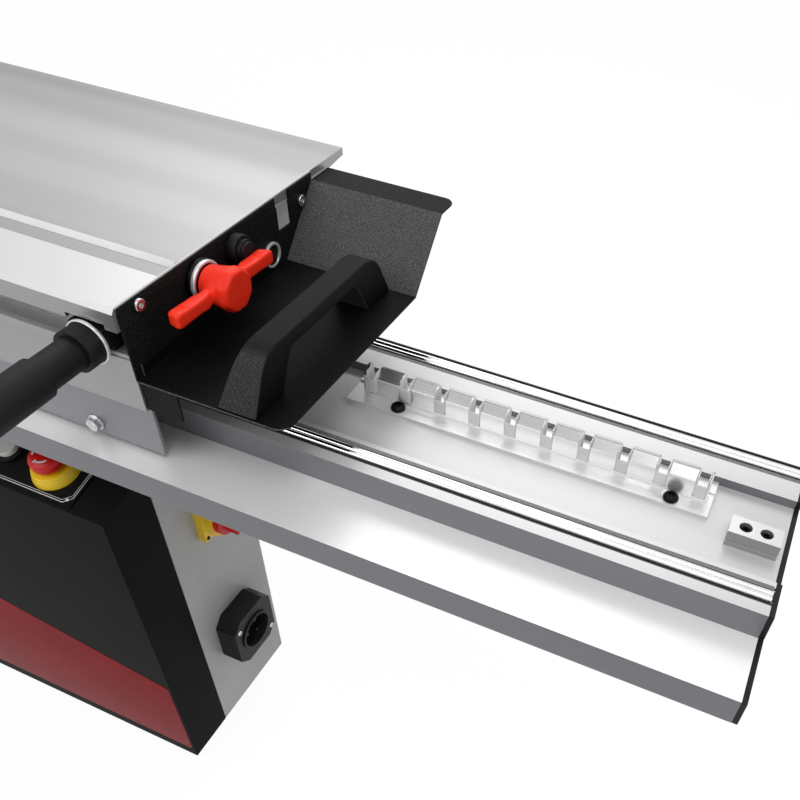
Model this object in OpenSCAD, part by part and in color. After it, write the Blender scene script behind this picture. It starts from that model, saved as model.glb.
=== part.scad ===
// Sliding table saw. X runs along the sliding table towards the infeed end, Y away from the operator
// towards the rip fence, Z up from the floor. The blade stands in the plane Y = 0 with its arbor at X = 0.

/* [Machine] */
// Height of the table tops above the floor
table_h = 880; // [870:1:900]
// Gap between the sliding table and the blade plane
blade_gap = 35; // [32:1:45]

/* [Sliding table] */
// Length of the sliding table
carriage_len = 3200; // [3000:20:3300]
// Distance of its infeed end from the blade centre
carriage_end = 1620; // [1600:5:1640]
// Width of the table deck
deck_w = 375; // [365:1:385]
// Thickness of the deck skin
deck_t = 8; // [7:0.5:9]
// Depth of the hollow box under the deck
box_depth = 75; // [73:1:78]
// Thickness of the walls and ribs of the box
wall = 4; // [3:0.5:5]
// Width of the clamping groove in the deck
groove_w = 28; // [22:1:30]
// Depth of the clamping groove
groove_d = 2.5; // [2:0.1:4]
// Distance of the groove from the near edge
groove_y = 61; // [55:1:70]
// Opening of the side slot
slot_h = 23; // [20:1:25]
// Depth of the side slot behind its lips
slot_d = 20; // [16:1:22]
// Height of the apron plate
apron_h = 91; // [80:1:92]
// Thickness of the apron plate
apron_t = 3; // [2:0.5:4]
// Spacing of the apron bolts
apron_pitch = 500; // [400:10:600]

/* [Rail] */
// Length of the fixed rail
rail_len = 3240; // [3100:10:3300]
// Reach of the rail past the infeed end of the table
rail_reach = 584; // [560:1:600]
// Drop from the deck to the rail tops
rail_drop = 146; // [144:1:149]
// Height of the rail body
rail_h = 63; // [60:1:66]
// Drop from the rail tops to the outer flange
flange_drop = 31; // [29:1:34]
// Width of the outer flange
flange_w = 70; // [64:1:74]
// Width of the whole rail
rail_w = 270; // [266:1:272]
// Width of each track
track_w = 40; // [38:1:44]
// Depth of the channel between the tracks
channel_d = 10; // [8:0.5:12]
// Diameter of the guide rods
rod_d = 6; // [5:0.5:7]
// Thickness of the end caps
cap_t = 5; // [3:0.5:8]

/* [Roller cages] */
// Length of each cage
cage_len = 1300; // [1200:20:1340]
// Spacing of the rollers
roller_pitch = 100; // [80:5:120]
// Thickness of the cage strips
cage_t = 4; // [3:0.5:5]
// Width of the rollers
roller_w = 14; // [12:0.5:15]

/* [Tray and lock] */
// Length of the tray
tray_len = 156; // [148:1:170]
// Drop from the deck to the tray floor
tray_drop = 73; // [72:0.5:74]
// Width of the flange along the top of the tray's far wall
tray_flange = 34; // [24:1:38]
// Thickness of the sheet metal
sheet = 2; // [1.5:0.5:3]
// Length of the bow handle
bow_len = 240; // [226:1:241]
// Width of the bow handle at its feet
bow_w = 40; // [34:1:44]
// Height of the bow handle
bow_h = 53; // [50:1:57]
// Amount by which one side of the bow handle leans in
bow_lean = 14; // [8:1:16]
// Distance of the lock knob from the near edge
knob_y = 108; // [104:1:112]
// Drop of the lock knob below the deck
knob_drop = 26; // [25:0.5:27]
// Span of the two wings of the knob
knob_span = 146; // [136:1:148]
// Angle through which the knob turns to lock the table
knob_turn = 34; // [28:1:35]
// Angle at which its near wing stands up when unlocked
knob_rise = 2; // [1:0.5:4]
// Diameter of the latch shaft
shaft_d = 16; // [12:0.5:18]
// Travel of the latch pawl
pawl_travel = 11; // [9:0.5:12]

/* [Comb and stops] */
// Spacing of the comb teeth
comb_pitch = 39; // [36:1:40]
// Number of notches in the comb
comb_count = 10; // [6:1:10]
// Thickness of the comb bar
comb_t = 14; // [12:1:16]
// Drop from the deck to the top of the comb
comb_drop = 123; // [122:0.5:128]
// Length of a stop block
stop_len = 48; // [40:1:52]
// Width of a stop block
stop_w = 23; // [18:1:24]
// Height of a stop block
stop_h = 18; // [15:1:20]

/* [Push handle] */
// Diameter of the rubber grip
grip_d = 38; // [32:1:40]
// Length of the push handle
handle_len = 290; // [200:5:340]
// Diameter of the steel tube
tube_d = 32; // [26:1:34]
// Distance of the handle from the end of the table
handle_x = 34; // [32:1:40]

/* [Base] */
// Length of the base
base_len = 2220; // [2100:10:2300]
// Set back of the base from the end of the table
base_back = 97; // [80:1:120]
// Width of the steel base
base_w = 161; // [158:1:164]
// Depth of the front cover
cover_d = 73; // [70:1:76]
// Drop from the deck to the top of the base
base_drop = 240; // [236:1:250]
// Height of the feet
foot_h = 60; // [50:1:70]
// Drop from the deck to the panel's lower lip
lip_drop = 295; // [290:1:305]
// Slope of the control panel in degrees
panel_tilt = 15.6; // [12:0.2:18]
// Diameter of the emergency stop mushroom
estop_d = 40; // [36:1:42]
// Travel of the buttons
press = 4; // [3:0.5:5]

/* [Main table] */
// Length of the cast table
table_len = 860; // [840:10:880]
// Width of the cast table
table_w = 520; // [500:5:540]
// Thickness of the cast plate
plate_t = 12; // [10:1:14]
// Depth of the ribs
rib_h = 45; // [40:1:48]
// Width of the slot insert
insert_w = 53; // [50:1:56]
// Thickness of the slot insert
insert_t = 8; // [7:0.5:8]
// Width of the extension table
ext_w = 620; // [560:10:680]
// Diameter of the fence bar
bar_d = 40; // [36:1:44]
// Height of the rip fence
fence_h = 75; // [60:1:90]
// Distance of the rip fence face from the blade
fence_y = 600; // [560:5:640]

/* [Saw unit] */
// Diameter of the main blade
blade_d = 315; // [300:1:315]
// Thickness of the blade
blade_t = 3.2; // [2.8:0.1:3.6]
// Number of blade teeth
blade_teeth = 48; // [36:4:60]
// Diameter of the arbor
arbor_d = 30; // [25:1:30]
// Depth of the arbor below the table top
arbor_drop = 97; // [95:1:100]
// Distance of the motor shaft below the arbor
motor_drop = 193; // [185:1:200]
// Diameter of the motor
motor_d = 160; // [150:2:164]
// Radius of the arbor pulley
small_pulley_r = 34; // [30:1:36]
// Radius of the motor pulley
big_pulley_r = 51; // [46:1:54]
// Spacing of the lift columns
column_gap = 260; // [250:2:270]
// Diameter of the lift columns
column_d = 24; // [20:1:26]
// Inner radius of the tilt arc
arc_r = 150; // [146:1:154]
// Width of the tilt arc
arc_w = 20; // [16:1:24]
// Diameter of the handwheels
wheel_d = 150; // [130:2:160]

/* [Hidden] */
$fn = 48;
far_edge = -blade_gap;
near_edge = far_edge - deck_w;
far_top = deck_w - 62;
far_low = deck_w - 144;
skirt_y = 5;
edge_cut = 4;
groove_slope = 9;
skirt_t = 6;
skirt_low = 112;
lip_t = 18;
slot_low = lip_t + 5 + slot_h;
apron_top = box_depth + 5;
apron_low = apron_top + apron_h;
apron_y = skirt_y + skirt_t;
carriage_x0 = carriage_end - carriage_len;
run_fit = 0.05;
seam = 0.05;
gap = 0.3;

flange_y = -16;
riser_y = flange_y + flange_w;
track_y = riser_y + track_w;
rail_far = flange_y + rail_w;
channel_y0 = track_y;
channel_y1 = rail_far - track_w - 10;
slant_y = rail_far - rail_h + 5;
slant_z = rail_far - channel_y1 + 5;
rail_x1 = carriage_end + rail_reach;
rail_x0 = rail_x1 - rail_len;
near_rod_y = riser_y + 22;
far_rod_y = rail_far - 11;
rod_pitch = rod_d + 0.2;
rail_top = table_h - rail_drop;
rail_low = rail_top - rail_h;
channel_z = rail_top - channel_d;

runner_low = 119;
rod_top = rail_drop - rod_d / 2;
roller_r = (rod_top - runner_low) / 2 - gap;
roller_drop = (rod_top + runner_low) / 2;
cage_x0 = carriage_end - 2000;
roller_count = floor((cage_len - 100) / roller_pitch) + 1;

shaft_r = shaft_d / 2;
knob_x = 12;
wing_x = knob_x + 9;
wing_t = 14;
wing_r = 7;
crank_start = 5;
crank_r = pawl_travel / (sin(crank_start + knob_turn) - sin(crank_start));
crank_pin_r = 9;
pawl_y = knob_y + 68;
pawl_x = -20;
pawl_t = 8;
pawl_w = 20;
pawl_low = comb_drop - 2;
bumper_y = 163;
bumper_drop = 20;
bumper_d = 22;

comb_x0 = carriage_end + 135;
comb_len = comb_pitch * (comb_count - 1) + 18;
comb_y = pawl_y;
comb_top = table_h - comb_drop;
foot_t = 4;
notch_floor = channel_z + foot_t + 3;
comb_foot_y = comb_y - 25;
comb_screw_y = comb_y - 16;
stop_y = 128;
stop_x1 = rail_x1 - 5;
travel_in = 1850;
pin_r = 8;
pin_x = stop_x1 - stop_len - travel_in - pin_r - gap;
travel_out = 1250;
stop_x0 = pin_x - travel_out - pin_r - gap - stop_len;

base_x1 = carriage_end - base_back;
base_x0 = base_x1 - base_len;
base_top = table_h - base_drop;
lip_z = table_h - lip_drop;
base_y1 = near_edge + 218;
base_y0 = base_y1 - base_w;
cover_y = base_y0 - cover_d;
bay = 330;
beam_h = 100;
panel_rise = cover_d * tan(panel_tilt);
panel_x1 = carriage_end - 145;
panel_len = 290;
panel_t = 2;
button_up = 10;
collar_h = 13;
estop_x = carriage_end - 192;
start_x = carriage_end - 259;
start_r = 12.5;
switch_x = base_x1;
isolator_y = near_edge + 138;
isolator_z = base_top - 171;
plate_side = 60;
inlet_y = near_edge + 133;
inlet_z = base_top - 411;
inlet_w = 86;
inlet_h = 96;
inlet_d = 34;
anchor_x = 412;
anchor_y = 250;
anchor_r = 7;

insert_y0 = far_edge + 4;
table_y0 = insert_y0 + insert_w;
table_y1 = table_y0 + table_w;
cab_x = table_len / 2;
cab_y1 = 500;
cab_t = 4;
cab_top = table_h - rib_h - gap;
bar_x = cab_x + 55;
bar_z = table_h - 46;
bar_len = table_w + ext_w + 40;
fence_w = 34;
fence_len = table_len - 60;
carrier_w = 110;

blade_r = blade_d / 2;
arbor_r = arbor_d / 2;
arbor_z = table_h - arbor_drop;
motor_z = arbor_z - motor_drop;
flange_r = 40;
flange_t = 10;
lift_y = 25;
lift_t = 8;
tilt_y = 64;
tilt_t = 8;
pulley_y = 78;
pulley_w = 26;
motor_y = 112;
motor_len = 220;
housing_r = 35;
column_y = 42;
boss_r = column_d / 2 + 7;
trunnion_x = 300;
trunnion_t = 12;
cheek_t = 10;
wheel_x = cab_x + 46;
tilt_wheel_y = 120;
lift_wheel_y = 330;
wheel_z = table_h - 260;
latch_z = table_h - 430;

// Extrudes a profile drawn in Y and Z from x0 to x1
module along_x(x0, x1) {
  translate([x0, 0, 0]) rotate([90, 0, 90]) linear_extrude(x1 - x0) children();
}

// Round bar along X
module rod_x(x0, x1, r) {
  translate([x0, 0, 0]) rotate([0, 90, 0]) cylinder(h = x1 - x0, r = r);
}

// Round bar along Y
module rod_y(y0, y1, r) {
  translate([0, y0, 0]) rotate([-90, 0, 0]) cylinder(h = y1 - y0, r = r);
}

// Block given by its two corners
module block(a, b) {
  translate(a) cube(b - a);
}

// Moves a profile to the near edge of the deck top
module deck_profile() {
  translate([near_edge, table_h]) children();
}

// Moves a solid to the near top corner of the deck at its infeed end
module deck_end() {
  translate([carriage_end, near_edge, table_h]) children();
}

// Sector of a ring round the tilt axis, drawn in Y and Z, with angles measured from straight down
module arc_sector(r0, r1, a0, a1) {
  steps = 24;
  function at(r, a) = [r * sin(a), table_h - r * cos(a)];
  polygon(concat(
    [for (i = [0:steps]) at(r0, a0 + (a1 - a0) * i / steps)],
    [for (i = [steps:-1:0]) at(r1, a0 + (a1 - a0) * i / steps)]
  ));
}

module deck_outline() {
  polygon([
    [edge_cut, 0], [deck_w, 0], [deck_w, -deck_t], [far_top, -deck_t - 7], [far_low, -box_depth],
    [skirt_y + slot_d, -box_depth], [skirt_y + slot_d, -box_depth - wall],
    [skirt_y + skirt_t, -box_depth - wall], [skirt_y + skirt_t, -skirt_low],
    [skirt_y, -skirt_low], [skirt_y, -slot_low - 8], [0, -slot_low - 8], [0, -edge_cut - 1]
  ]);
}

module deck_hollows() {
  rib_a = skirt_y + 3 + slot_d + wall;
  rib_b = rib_a + 94;
  rib_c = rib_b + 88;
  low = box_depth - wall;
  // Side slot and the cavity behind its lips
  translate([-1, -slot_low]) square([10, slot_h]);
  translate([skirt_y + 1, -slot_low - 4]) square([slot_d, slot_h + 8]);
  // Chambers between the ribs
  translate([rib_a, -low]) square([rib_b - rib_a - wall, low - deck_t]);
  translate([rib_b, -low]) square([rib_c - rib_b - wall, low - deck_t]);
  polygon([
    [rib_c, -deck_t], [far_top - 14, -deck_t - 7], [far_low - 3, -low], [rib_c, -low]
  ]);
  // Clamping groove, with a slanted far side
  polygon([
    [groove_y, 1], [groove_y, -groove_d], [groove_y + groove_w - groove_slope, -groove_d],
    [groove_y + groove_w, 0], [groove_y + groove_w, 1]
  ]);
}

module carriage_deck() {
  color("silver") difference() {
    union() {
      along_x(carriage_x0, carriage_end) deck_profile() difference() {
        deck_outline();
        deck_hollows();
      }
      // Block behind the far screw of the end plate
      deck_end() block([-40, deck_w - 103, -28], [0, deck_w - 87, -deck_t - 1]);
    }
    // Lower lip of the slot cut away for the push handle
    deck_end() block([-handle_x - 28, -1, -slot_low - 9], [1, skirt_y + 1, -slot_low + 0.01]);
    deck_end() block([-handle_x - 21, -1, -slot_low - 4], [-handle_x + 21, skirt_y + 3, -lip_t]);
    // Room for the latch crank, cut through the ribs
    deck_end() block([-60, knob_y - 34, -box_depth + wall], [1, pawl_y + 12, -deck_t]);
    // Fitted slot that guides the pawl
    deck_end() block(
      [pawl_x - 0.2, pawl_y - pawl_w / 2 - 0.2, -box_depth - 1],
      [pawl_x + pawl_t + 0.2, pawl_y + pawl_w / 2 + 0.2, -box_depth + wall + 1]
    );
    // Screw holes for both end screws
    deck_end() for (p = end_screw_places()) {
      translate([0, p[0], p[1]]) rod_x(-16, 1, 3);
    }
  }
}

function end_screw_places() = [[skirt_y + 23, -9], [deck_w - 95, -21]];

module carriage_runners() {
  low = runner_low;
  color("lightgray") along_x(carriage_x0 + 6, carriage_end - 30) deck_profile() {
    difference() {
      translate([near_rod_y - 14, -low]) square([32, low - box_depth]);
      translate([near_rod_y - 9, -low + 8]) square([22, low - box_depth - 8 - wall]);
    }
    polygon([
      [far_low - 22, -box_depth], [far_low - 0.5, -box_depth], [far_rod_y + 11, -box_depth - 22],
      [far_rod_y + 11, -low], [far_rod_y - 13, -low], [far_low - 22, -box_depth - 14]
    ]);
  }
}

function apron_bolt_places() = [for (x = [79:apron_pitch:carriage_len - 60]) -x];

module apron_plate() {
  color("gainsboro") difference() {
    along_x(carriage_x0, carriage_end) deck_profile()
      translate([apron_y, -apron_low]) square([apron_t, apron_h]);
    deck_end() for (x = apron_bolt_places()) {
      translate([x, 0, -apron_low + 13]) rod_y(apron_y - 1, apron_y + apron_t + 1, 4.1);
    }
  }
}

module apron_bolts() {
  color("silver") deck_end() for (x = apron_bolt_places()) {
    translate([x, 0, -apron_low + 13]) {
      rod_y(apron_y - 2, apron_y + apron_t + 12, 4);
      rod_y(apron_y - 2, apron_y, 9);
      translate([0, apron_y - 2, 0]) rotate([90, 0, 0]) cylinder(h = 6, r = 7.5, $fn = 6);
      translate([0, apron_y + apron_t, 0]) rotate([-90, 0, 0]) cylinder(h = 6.5, r = 7.5, $fn = 6);
    }
  }
}

module end_plate() {
  color("dimgray") difference() {
    union() {
      deck_end() along_x(0, sheet) difference() {
        polygon([
          [skirt_y - 1, -7], [far_top - 6, -deck_t - 6], [far_low + 14, -box_depth],
          [44, -box_depth], [44, -skirt_low], [skirt_y + 7, -skirt_low + 4],
          [skirt_y + 7, -box_depth], [skirt_y - 1, -box_depth]
        ]);
        translate([far_low + 7, -38]) square([22, 32]);
      }
      // Tab bent forward at the near lower corner, with its folded top edge
      deck_end() block([0, skirt_y + 2, -skirt_low + 2], [40, skirt_y + 2 + sheet, -skirt_low + 32]);
      deck_end() block([0, skirt_y + 2, -skirt_low + 30], [40, skirt_y + 12, -skirt_low + 32]);
    }
    deck_end() translate([0, knob_y, -knob_drop]) rod_x(-1, sheet + 1, shaft_r + 3);
    deck_end() for (p = end_screw_places()) {
      translate([0, p[0], p[1]]) rod_x(-1, sheet + 1, 3.2);
    }
  }
}

module end_screws() {
  color("black") deck_end() for (p = end_screw_places()) translate([0, p[0], p[1]]) {
    difference() {
      union() {
        rod_x(-15, sheet, 3);
        rod_x(sheet, sheet + 4, 6);
      }
      rod_x(sheet + 1.5, sheet + 5, 2);
    }
  }
}

module tray() {
  floor_y = far_low + 13;
  wall_y = far_top - 8;
  edge_y = wall_y + tray_flange;
  color("dimgray") difference() {
    deck_end() along_x(sheet, sheet + tray_len) {
      polygon([
        [2, -tray_drop - sheet], [floor_y + 1, -tray_drop - sheet], [wall_y + 1, -deck_t - 2],
        [edge_y, -deck_t - 2], [edge_y, -deck_t], [wall_y, -deck_t],
        [floor_y, -tray_drop], [2, -tray_drop]
      ]);
    }
    // Rounded corners of the floor and of the flange
    deck_end() translate([sheet + tray_len, 2, -tray_drop]) corner_cut(14);
    deck_end() translate([sheet + tray_len, edge_y, -deck_t]) mirror([0, 1, 0]) corner_cut(12);
  }
  // Flange that screws to the end plate
  color("dimgray") deck_end() block([sheet, 12, -tray_drop], [2 * sheet, far_low - 6, -tray_drop + 12]);
}

// Takes a square corner off to a radius
module corner_cut(r) {
  difference() {
    translate([-r, -1, -10]) cube([r + 1, r + 1, 20]);
    translate([-r, r, -11]) cylinder(h = 22, r = r);
  }
}

module bow_handle() {
  r = 34;
  grip = 15;
  bend = 12;
  x0 = 88;
  y0 = 3;
  color("black") deck_end() translate([x0, y0, -tray_drop]) difference() {
    along_x(0, bow_w) difference() {
      intersection() {
        square([bow_len, bow_h]);
        hull() {
          square([bow_len, 3]);
          translate([r + 12, bow_h - r]) circle(r = r);
          translate([bow_len - r - 12, bow_h - r]) circle(r = r);
        }
      }
      hull() {
        translate([44, -1]) square([bow_len - 88, 1]);
        translate([70, bow_h - grip - bend]) circle(r = bend);
        translate([bow_len - 70, bow_h - grip - bend]) circle(r = bend);
      }
    }
    // Side towards the end plate leans in
    rotate([0, atan(bow_lean / bow_h), 0]) block([-50, -1, -20], [0, bow_len + 1, 2 * bow_h]);
  }
}

module latch_bearing() {
  color("silver") deck_end() translate([0, knob_y, -knob_drop]) difference() {
    union() {
      rod_x(sheet, sheet + 5, 21);
      rod_x(sheet + 5, knob_x - gap, 16.5);
      rod_x(-10, sheet, shaft_r + 2.8);
    }
    rod_x(-11, knob_x, shaft_r + run_fit);
  }
}

module bumper() {
  color("black") deck_end() translate([0, bumper_y, -bumper_drop]) {
    rod_x(sheet, wing_x - 4, bumper_d / 2);
    rod_x(wing_x - 4, wing_x - 1, bumper_d / 2 - 2);
  }
}

module latch_shaft() {
  color("gray") deck_end() translate([0, knob_y, -knob_drop]) {
    rod_x(-24, knob_x + 22, shaft_r);
    hull() {
      rod_x(-22, -12, shaft_r + 1);
      rotate([crank_start, 0, 0]) translate([0, -crank_r, 0]) rod_x(-22, -12, crank_pin_r);
    }
  }
}

module lock_knob() {
  reach = knob_span / 2 - wing_r;
  color("orangered") deck_end() translate([0, knob_y, -knob_drop]) difference() {
    union() {
      rod_x(knob_x, wing_x + 1, 14.5);
      rod_x(wing_x, knob_x + 36, 18);
      for (side = [-1, 1]) rotate([-knob_rise, 0, 0]) {
        hull() {
          rod_x(wing_x, wing_x + wing_t, 13);
          translate([0, side * 34, 0]) rod_x(wing_x, wing_x + wing_t, wing_r);
        }
        translate([wing_x, side > 0 ? 34 : -reach, -wing_r]) cube([wing_t, reach - 34, 2 * wing_r]);
        translate([0, side * reach, 0]) rod_x(wing_x, wing_x + wing_t, wing_r);
      }
    }
    rod_x(knob_x - 1, knob_x + 22, shaft_r);
  }
}

module latch_pawl() {
  arm_top = -knob_drop - crank_r * sin(crank_start) - crank_pin_r - 2 * gap;
  color("gray") deck_end() union() {
    block([pawl_x - 2, knob_y - 30, arm_top - 10], [pawl_x + pawl_t + 2, pawl_y + pawl_w / 2, arm_top]);
    block([pawl_x, pawl_y - pawl_w / 2, -pawl_low], [pawl_x + pawl_t, pawl_y + pawl_w / 2, arm_top - 1]);
  }
}

module push_tube() {
  color("black") deck_end() translate([-handle_x, 0, -slot_low + 6]) {
    rod_y(-70, -8, tube_d / 2);
    rod_y(-handle_len + 10, -62, grip_d / 2);
    rod_y(-handle_len, -handle_len + 11, grip_d / 2 - 4);
  }
}

module tube_collar() {
  color("silver") deck_end() difference() {
    union() {
      translate([-handle_x, 0, -slot_low + 6]) rod_y(-22, 0, tube_d / 2 + 4);
      // Foot that locks in the side slot
      block(
        [-handle_x - 18, -2, -slot_low + 1],
        [-handle_x + 18, skirt_y + 1, -slot_low + slot_h - 1]
      );
      block(
        [-handle_x - 18, skirt_y + 1, -slot_low - 4 + gap],
        [-handle_x + 18, skirt_y + slot_d - 1, -slot_low + slot_h + 4 - gap]
      );
    }
    translate([-handle_x, 0, -slot_low + 6]) rod_y(-23, -8, tube_d / 2);
  }
}

module travel_stop() {
  color("gray") translate([pin_x, near_edge + stop_y + 9, table_h]) {
    translate([0, 0, -rail_drop + 4]) cylinder(h = rail_drop - 4 - box_depth, r = pin_r);
    translate([0, 0, -box_depth - 8]) cylinder(h = 8, r = pin_r + 8);
  }
}

// The rail is three extrusions locked side by side, with a thin seam between them. This is the near
// one, with the flange
module near_beam() {
  f = flange_drop;
  lip = 6;
  polygon([
    [flange_y, -f], [riser_y, -f], [riser_y, 0], [channel_y0, 0], [channel_y0, -rail_h],
    [riser_y - 14, -rail_h], [riser_y - 14, -f - lip], [flange_y + lip, -f - lip],
    [flange_y + lip, -rail_h], [flange_y, -rail_h]
  ]);
}

// Middle extrusion, the floor of the channel
module channel_beam() {
  polygon([
    [channel_y0 + seam, -channel_d], [channel_y1 - seam, -channel_d], [channel_y1 - seam, -slant_z],
    [slant_y, -rail_h], [channel_y0 + seam, -rail_h]
  ]);
}

// Far extrusion, with a slanted underside
module far_beam() {
  polygon([[channel_y1, 0], [rail_far, 0], [rail_far, -5], [channel_y1, -slant_z]]);
}

// Hollows, each inside its own beam
module near_hollow() {
  skin = 6;
  polygon([
    [riser_y - 14 + skin, -rail_h + skin], [channel_y0 - skin, -rail_h + skin],
    [channel_y0 - skin, -channel_d - skin], [riser_y - 14 + skin, -flange_drop - skin]
  ]);
}

module channel_hollow() {
  skin = 6;
  polygon([
    [channel_y0 + skin, -channel_d - skin], [channel_y1 - skin, -channel_d - skin],
    [channel_y1 - skin, -slant_z + skin], [slant_y - skin, -rail_h + skin],
    [channel_y0 + skin, -rail_h + skin]
  ]);
}

module far_hollow() {
  skin = 6;
  polygon([
    [channel_y1 + skin, -slant_z + 2.5 * skin], [rail_far - 26, -channel_d - 2 * skin],
    [channel_y1 + skin, -channel_d - 2 * skin]
  ]);
}

function rod_places() = [
  near_rod_y - rod_pitch / 2, near_rod_y + rod_pitch / 2,
  far_rod_y - rod_pitch / 2, far_rod_y + rod_pitch / 2
];

// Round seats of the guide rods, and the small grooves beside them
module track_cuts() {
  groove = 3;
  for (y = rod_places()) translate([y, 0]) circle(d = rod_d + 0.2);
  for (y = [near_rod_y - 10, near_rod_y + 8, far_rod_y - 12]) {
    translate([y, -groove]) square([3, groove + 1]);
  }
}

module base_rail() {
  color("whitesmoke") along_x(rail_x0, rail_x1) translate([near_edge, rail_top]) {
    difference() {
      near_beam();
      near_hollow();
      track_cuts();
    }
    difference() {
      channel_beam();
      channel_hollow();
    }
    difference() {
      far_beam();
      far_hollow();
      track_cuts();
    }
  }
}

module guide_rods() {
  color("white") for (y = rod_places()) {
    translate([0, near_edge + y, rail_top]) rod_x(rail_x0 + 1, rail_x1 - 1, rod_d / 2);
  }
}

module rail_end_caps() {
  f = flange_drop;
  lip = 6;
  color("black") for (x = [rail_x0 - cap_t, rail_x1]) {
    along_x(x, x + cap_t) translate([near_edge, rail_top]) polygon([
      [flange_y, -f], [riser_y, -f], [riser_y, 0], [channel_y0, 0], [channel_y0, -channel_d],
      [channel_y1, -channel_d], [channel_y1, 0], [rail_far, 0], [rail_far, -5],
      [slant_y, -rail_h], [riser_y - 14, -rail_h], [riser_y - 14, -f - lip],
      [flange_y + lip, -f - lip], [flange_y + lip, -rail_h], [flange_y, -rail_h]
    ]);
  }
}

module rail_brackets() {
  len = 110;
  width = 60;
  rim = 18;
  y = near_edge + 110;
  color("gray") for (x = [base_x0 + 60, bay + 60, base_x1 - len - 80]) {
    block([x, y, base_top], [x + len, y + width, rail_low]);
    block([x - rim, y - rim, base_top], [x + len + rim, y + width + rim, base_top + 8]);
  }
}

module comb_bracket() {
  color("silver") difference() {
    union() {
      block(
        [comb_x0 - 12, near_edge + comb_foot_y, channel_z],
        [comb_x0 + comb_len + 6, near_edge + channel_y1 - 0.5, channel_z + foot_t]
      );
      block(
        [comb_x0 - 12, near_edge + comb_y + comb_t / 2, channel_z],
        [comb_x0 + comb_len + 6, near_edge + comb_y + comb_t / 2 + 5, notch_floor - 1]
      );
    }
    for (x = comb_screw_places()) {
      translate([x, near_edge + comb_screw_y, channel_z - 1]) cylinder(h = foot_t + 2, r = 4.2);
    }
  }
}

function comb_screw_places() = [comb_x0 + 45, comb_x0 + comb_len - 32];

module comb_bar() {
  slot = 12;
  bevel = 8;
  low = channel_z + foot_t;
  color("white") difference() {
    // Bar with its near top edge taken off
    along_x(comb_x0, comb_x0 + comb_len) translate([near_edge + comb_y - comb_t / 2, 0]) polygon([
      [0, low], [comb_t, low], [comb_t, comb_top], [bevel + 2, comb_top], [0, comb_top - bevel]
    ]);
    for (i = [0:comb_count - 1]) {
      x = comb_x0 + 4 + i * comb_pitch;
      block(
        [x, near_edge + comb_y - comb_t, notch_floor],
        [x + slot, near_edge + comb_y + comb_t, comb_top + 1]
      );
    }
  }
}

module comb_screws() {
  color("black") for (x = comb_screw_places()) {
    translate([x, near_edge + comb_screw_y, channel_z]) difference() {
      union() {
        cylinder(h = foot_t + 8, r = 4);
        translate([0, 0, foot_t]) cylinder(h = 8, r = 6.5);
      }
      translate([0, 0, foot_t + 4]) cylinder(h = 5, r = 3, $fn = 6);
    }
  }
}

module stop_blocks() {
  color("silver") for (x = [stop_x0, stop_x1 - stop_len]) {
    translate([x, near_edge + stop_y, channel_z]) difference() {
      cube([stop_len, stop_w, stop_h]);
      for (dx = [stop_len * 0.3, stop_len * 0.7]) {
        translate([dx, stop_w / 2, -1]) cylinder(h = stop_h + 2, r = 3.5);
        translate([dx, stop_w / 2, stop_h - 8]) cylinder(h = 9, r = 6);
      }
      translate([-1, -1, 5]) cube([stop_len + 2, 3, 3]);
    }
  }
}

// Window positions of the rollers along a cage
function roller_x(i) = cage_x0 + 50 + i * roller_pitch;

module roller_cages() {
  color("khaki") difference() {
    for (y = [near_rod_y - 16, far_rod_y - 14]) {
      translate([cage_x0, near_edge + y, table_h - roller_drop - cage_t / 2])
        cube([cage_len, 28, cage_t]);
    }
    for (y = [near_rod_y, far_rod_y], i = [0:roller_count - 1]) {
      half = roller_r + gap;
      block(
        [roller_x(i) - half, near_edge + y - roller_w / 2 - gap, table_h - roller_drop - cage_t],
        [roller_x(i) + half, near_edge + y + roller_w / 2 + gap, table_h - roller_drop + cage_t]
      );
    }
  }
}

module cage_rollers() {
  color("silver") for (y = [near_rod_y, far_rod_y], i = [0:roller_count - 1]) {
    translate([roller_x(i), near_edge + y, table_h - roller_drop])
      rod_y(-roller_w / 2, roller_w / 2, roller_r);
  }
}

module base_frame() {
  skin = 3;
  color("lightgray") difference() {
    block([base_x0, base_y0, foot_h], [base_x1, base_y1, base_top]);
    block([-bay, base_y0 - 1, foot_h + beam_h], [bay, base_y1 + 1, base_top + 1]);
    block(
      [base_x0 + skin, base_y0 + skin, foot_h + skin],
      [-bay - skin, base_y1 - skin, base_top - skin]
    );
    block(
      [bay + skin, base_y0 + skin, foot_h + skin],
      [base_x1 - skin, base_y1 - skin, base_top - skin]
    );
  }
}

// Outline of the cover, drawn in by t and longer by back at its open side
module cover_outline(t, back) {
  rise = back * tan(panel_tilt);
  polygon([
    [cover_y + t, foot_h + t], [base_y0 + back, foot_h + t],
    [base_y0 + back, lip_z + panel_rise + rise - t], [cover_y + t, lip_z - t]
  ]);
}

module front_cover() {
  color("#202020") difference() {
    along_x(base_x0, base_x1) cover_outline(0, 0);
    along_x(base_x0 + 3, base_x1 - 3) cover_outline(3, 1);
    // Holes for the switch stems
    button_place(estop_x) translate([0, 0, -12]) cylinder(h = 14, r = 11);
    button_place(start_x) translate([0, 0, -12]) cylinder(h = 14, r = start_r + 1.5);
  }
}

// Middle line of the sloped panel, with Z square to it
module panel_place(x) {
  translate([x, cover_y + cover_d * 0.42, lip_z + panel_rise * 0.42]) rotate([panel_tilt, 0, 0]) children();
}

// Place of a button, a little above the middle line of the panel
module button_place(x) {
  panel_place(x) translate([0, button_up, 0]) children();
}

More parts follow.
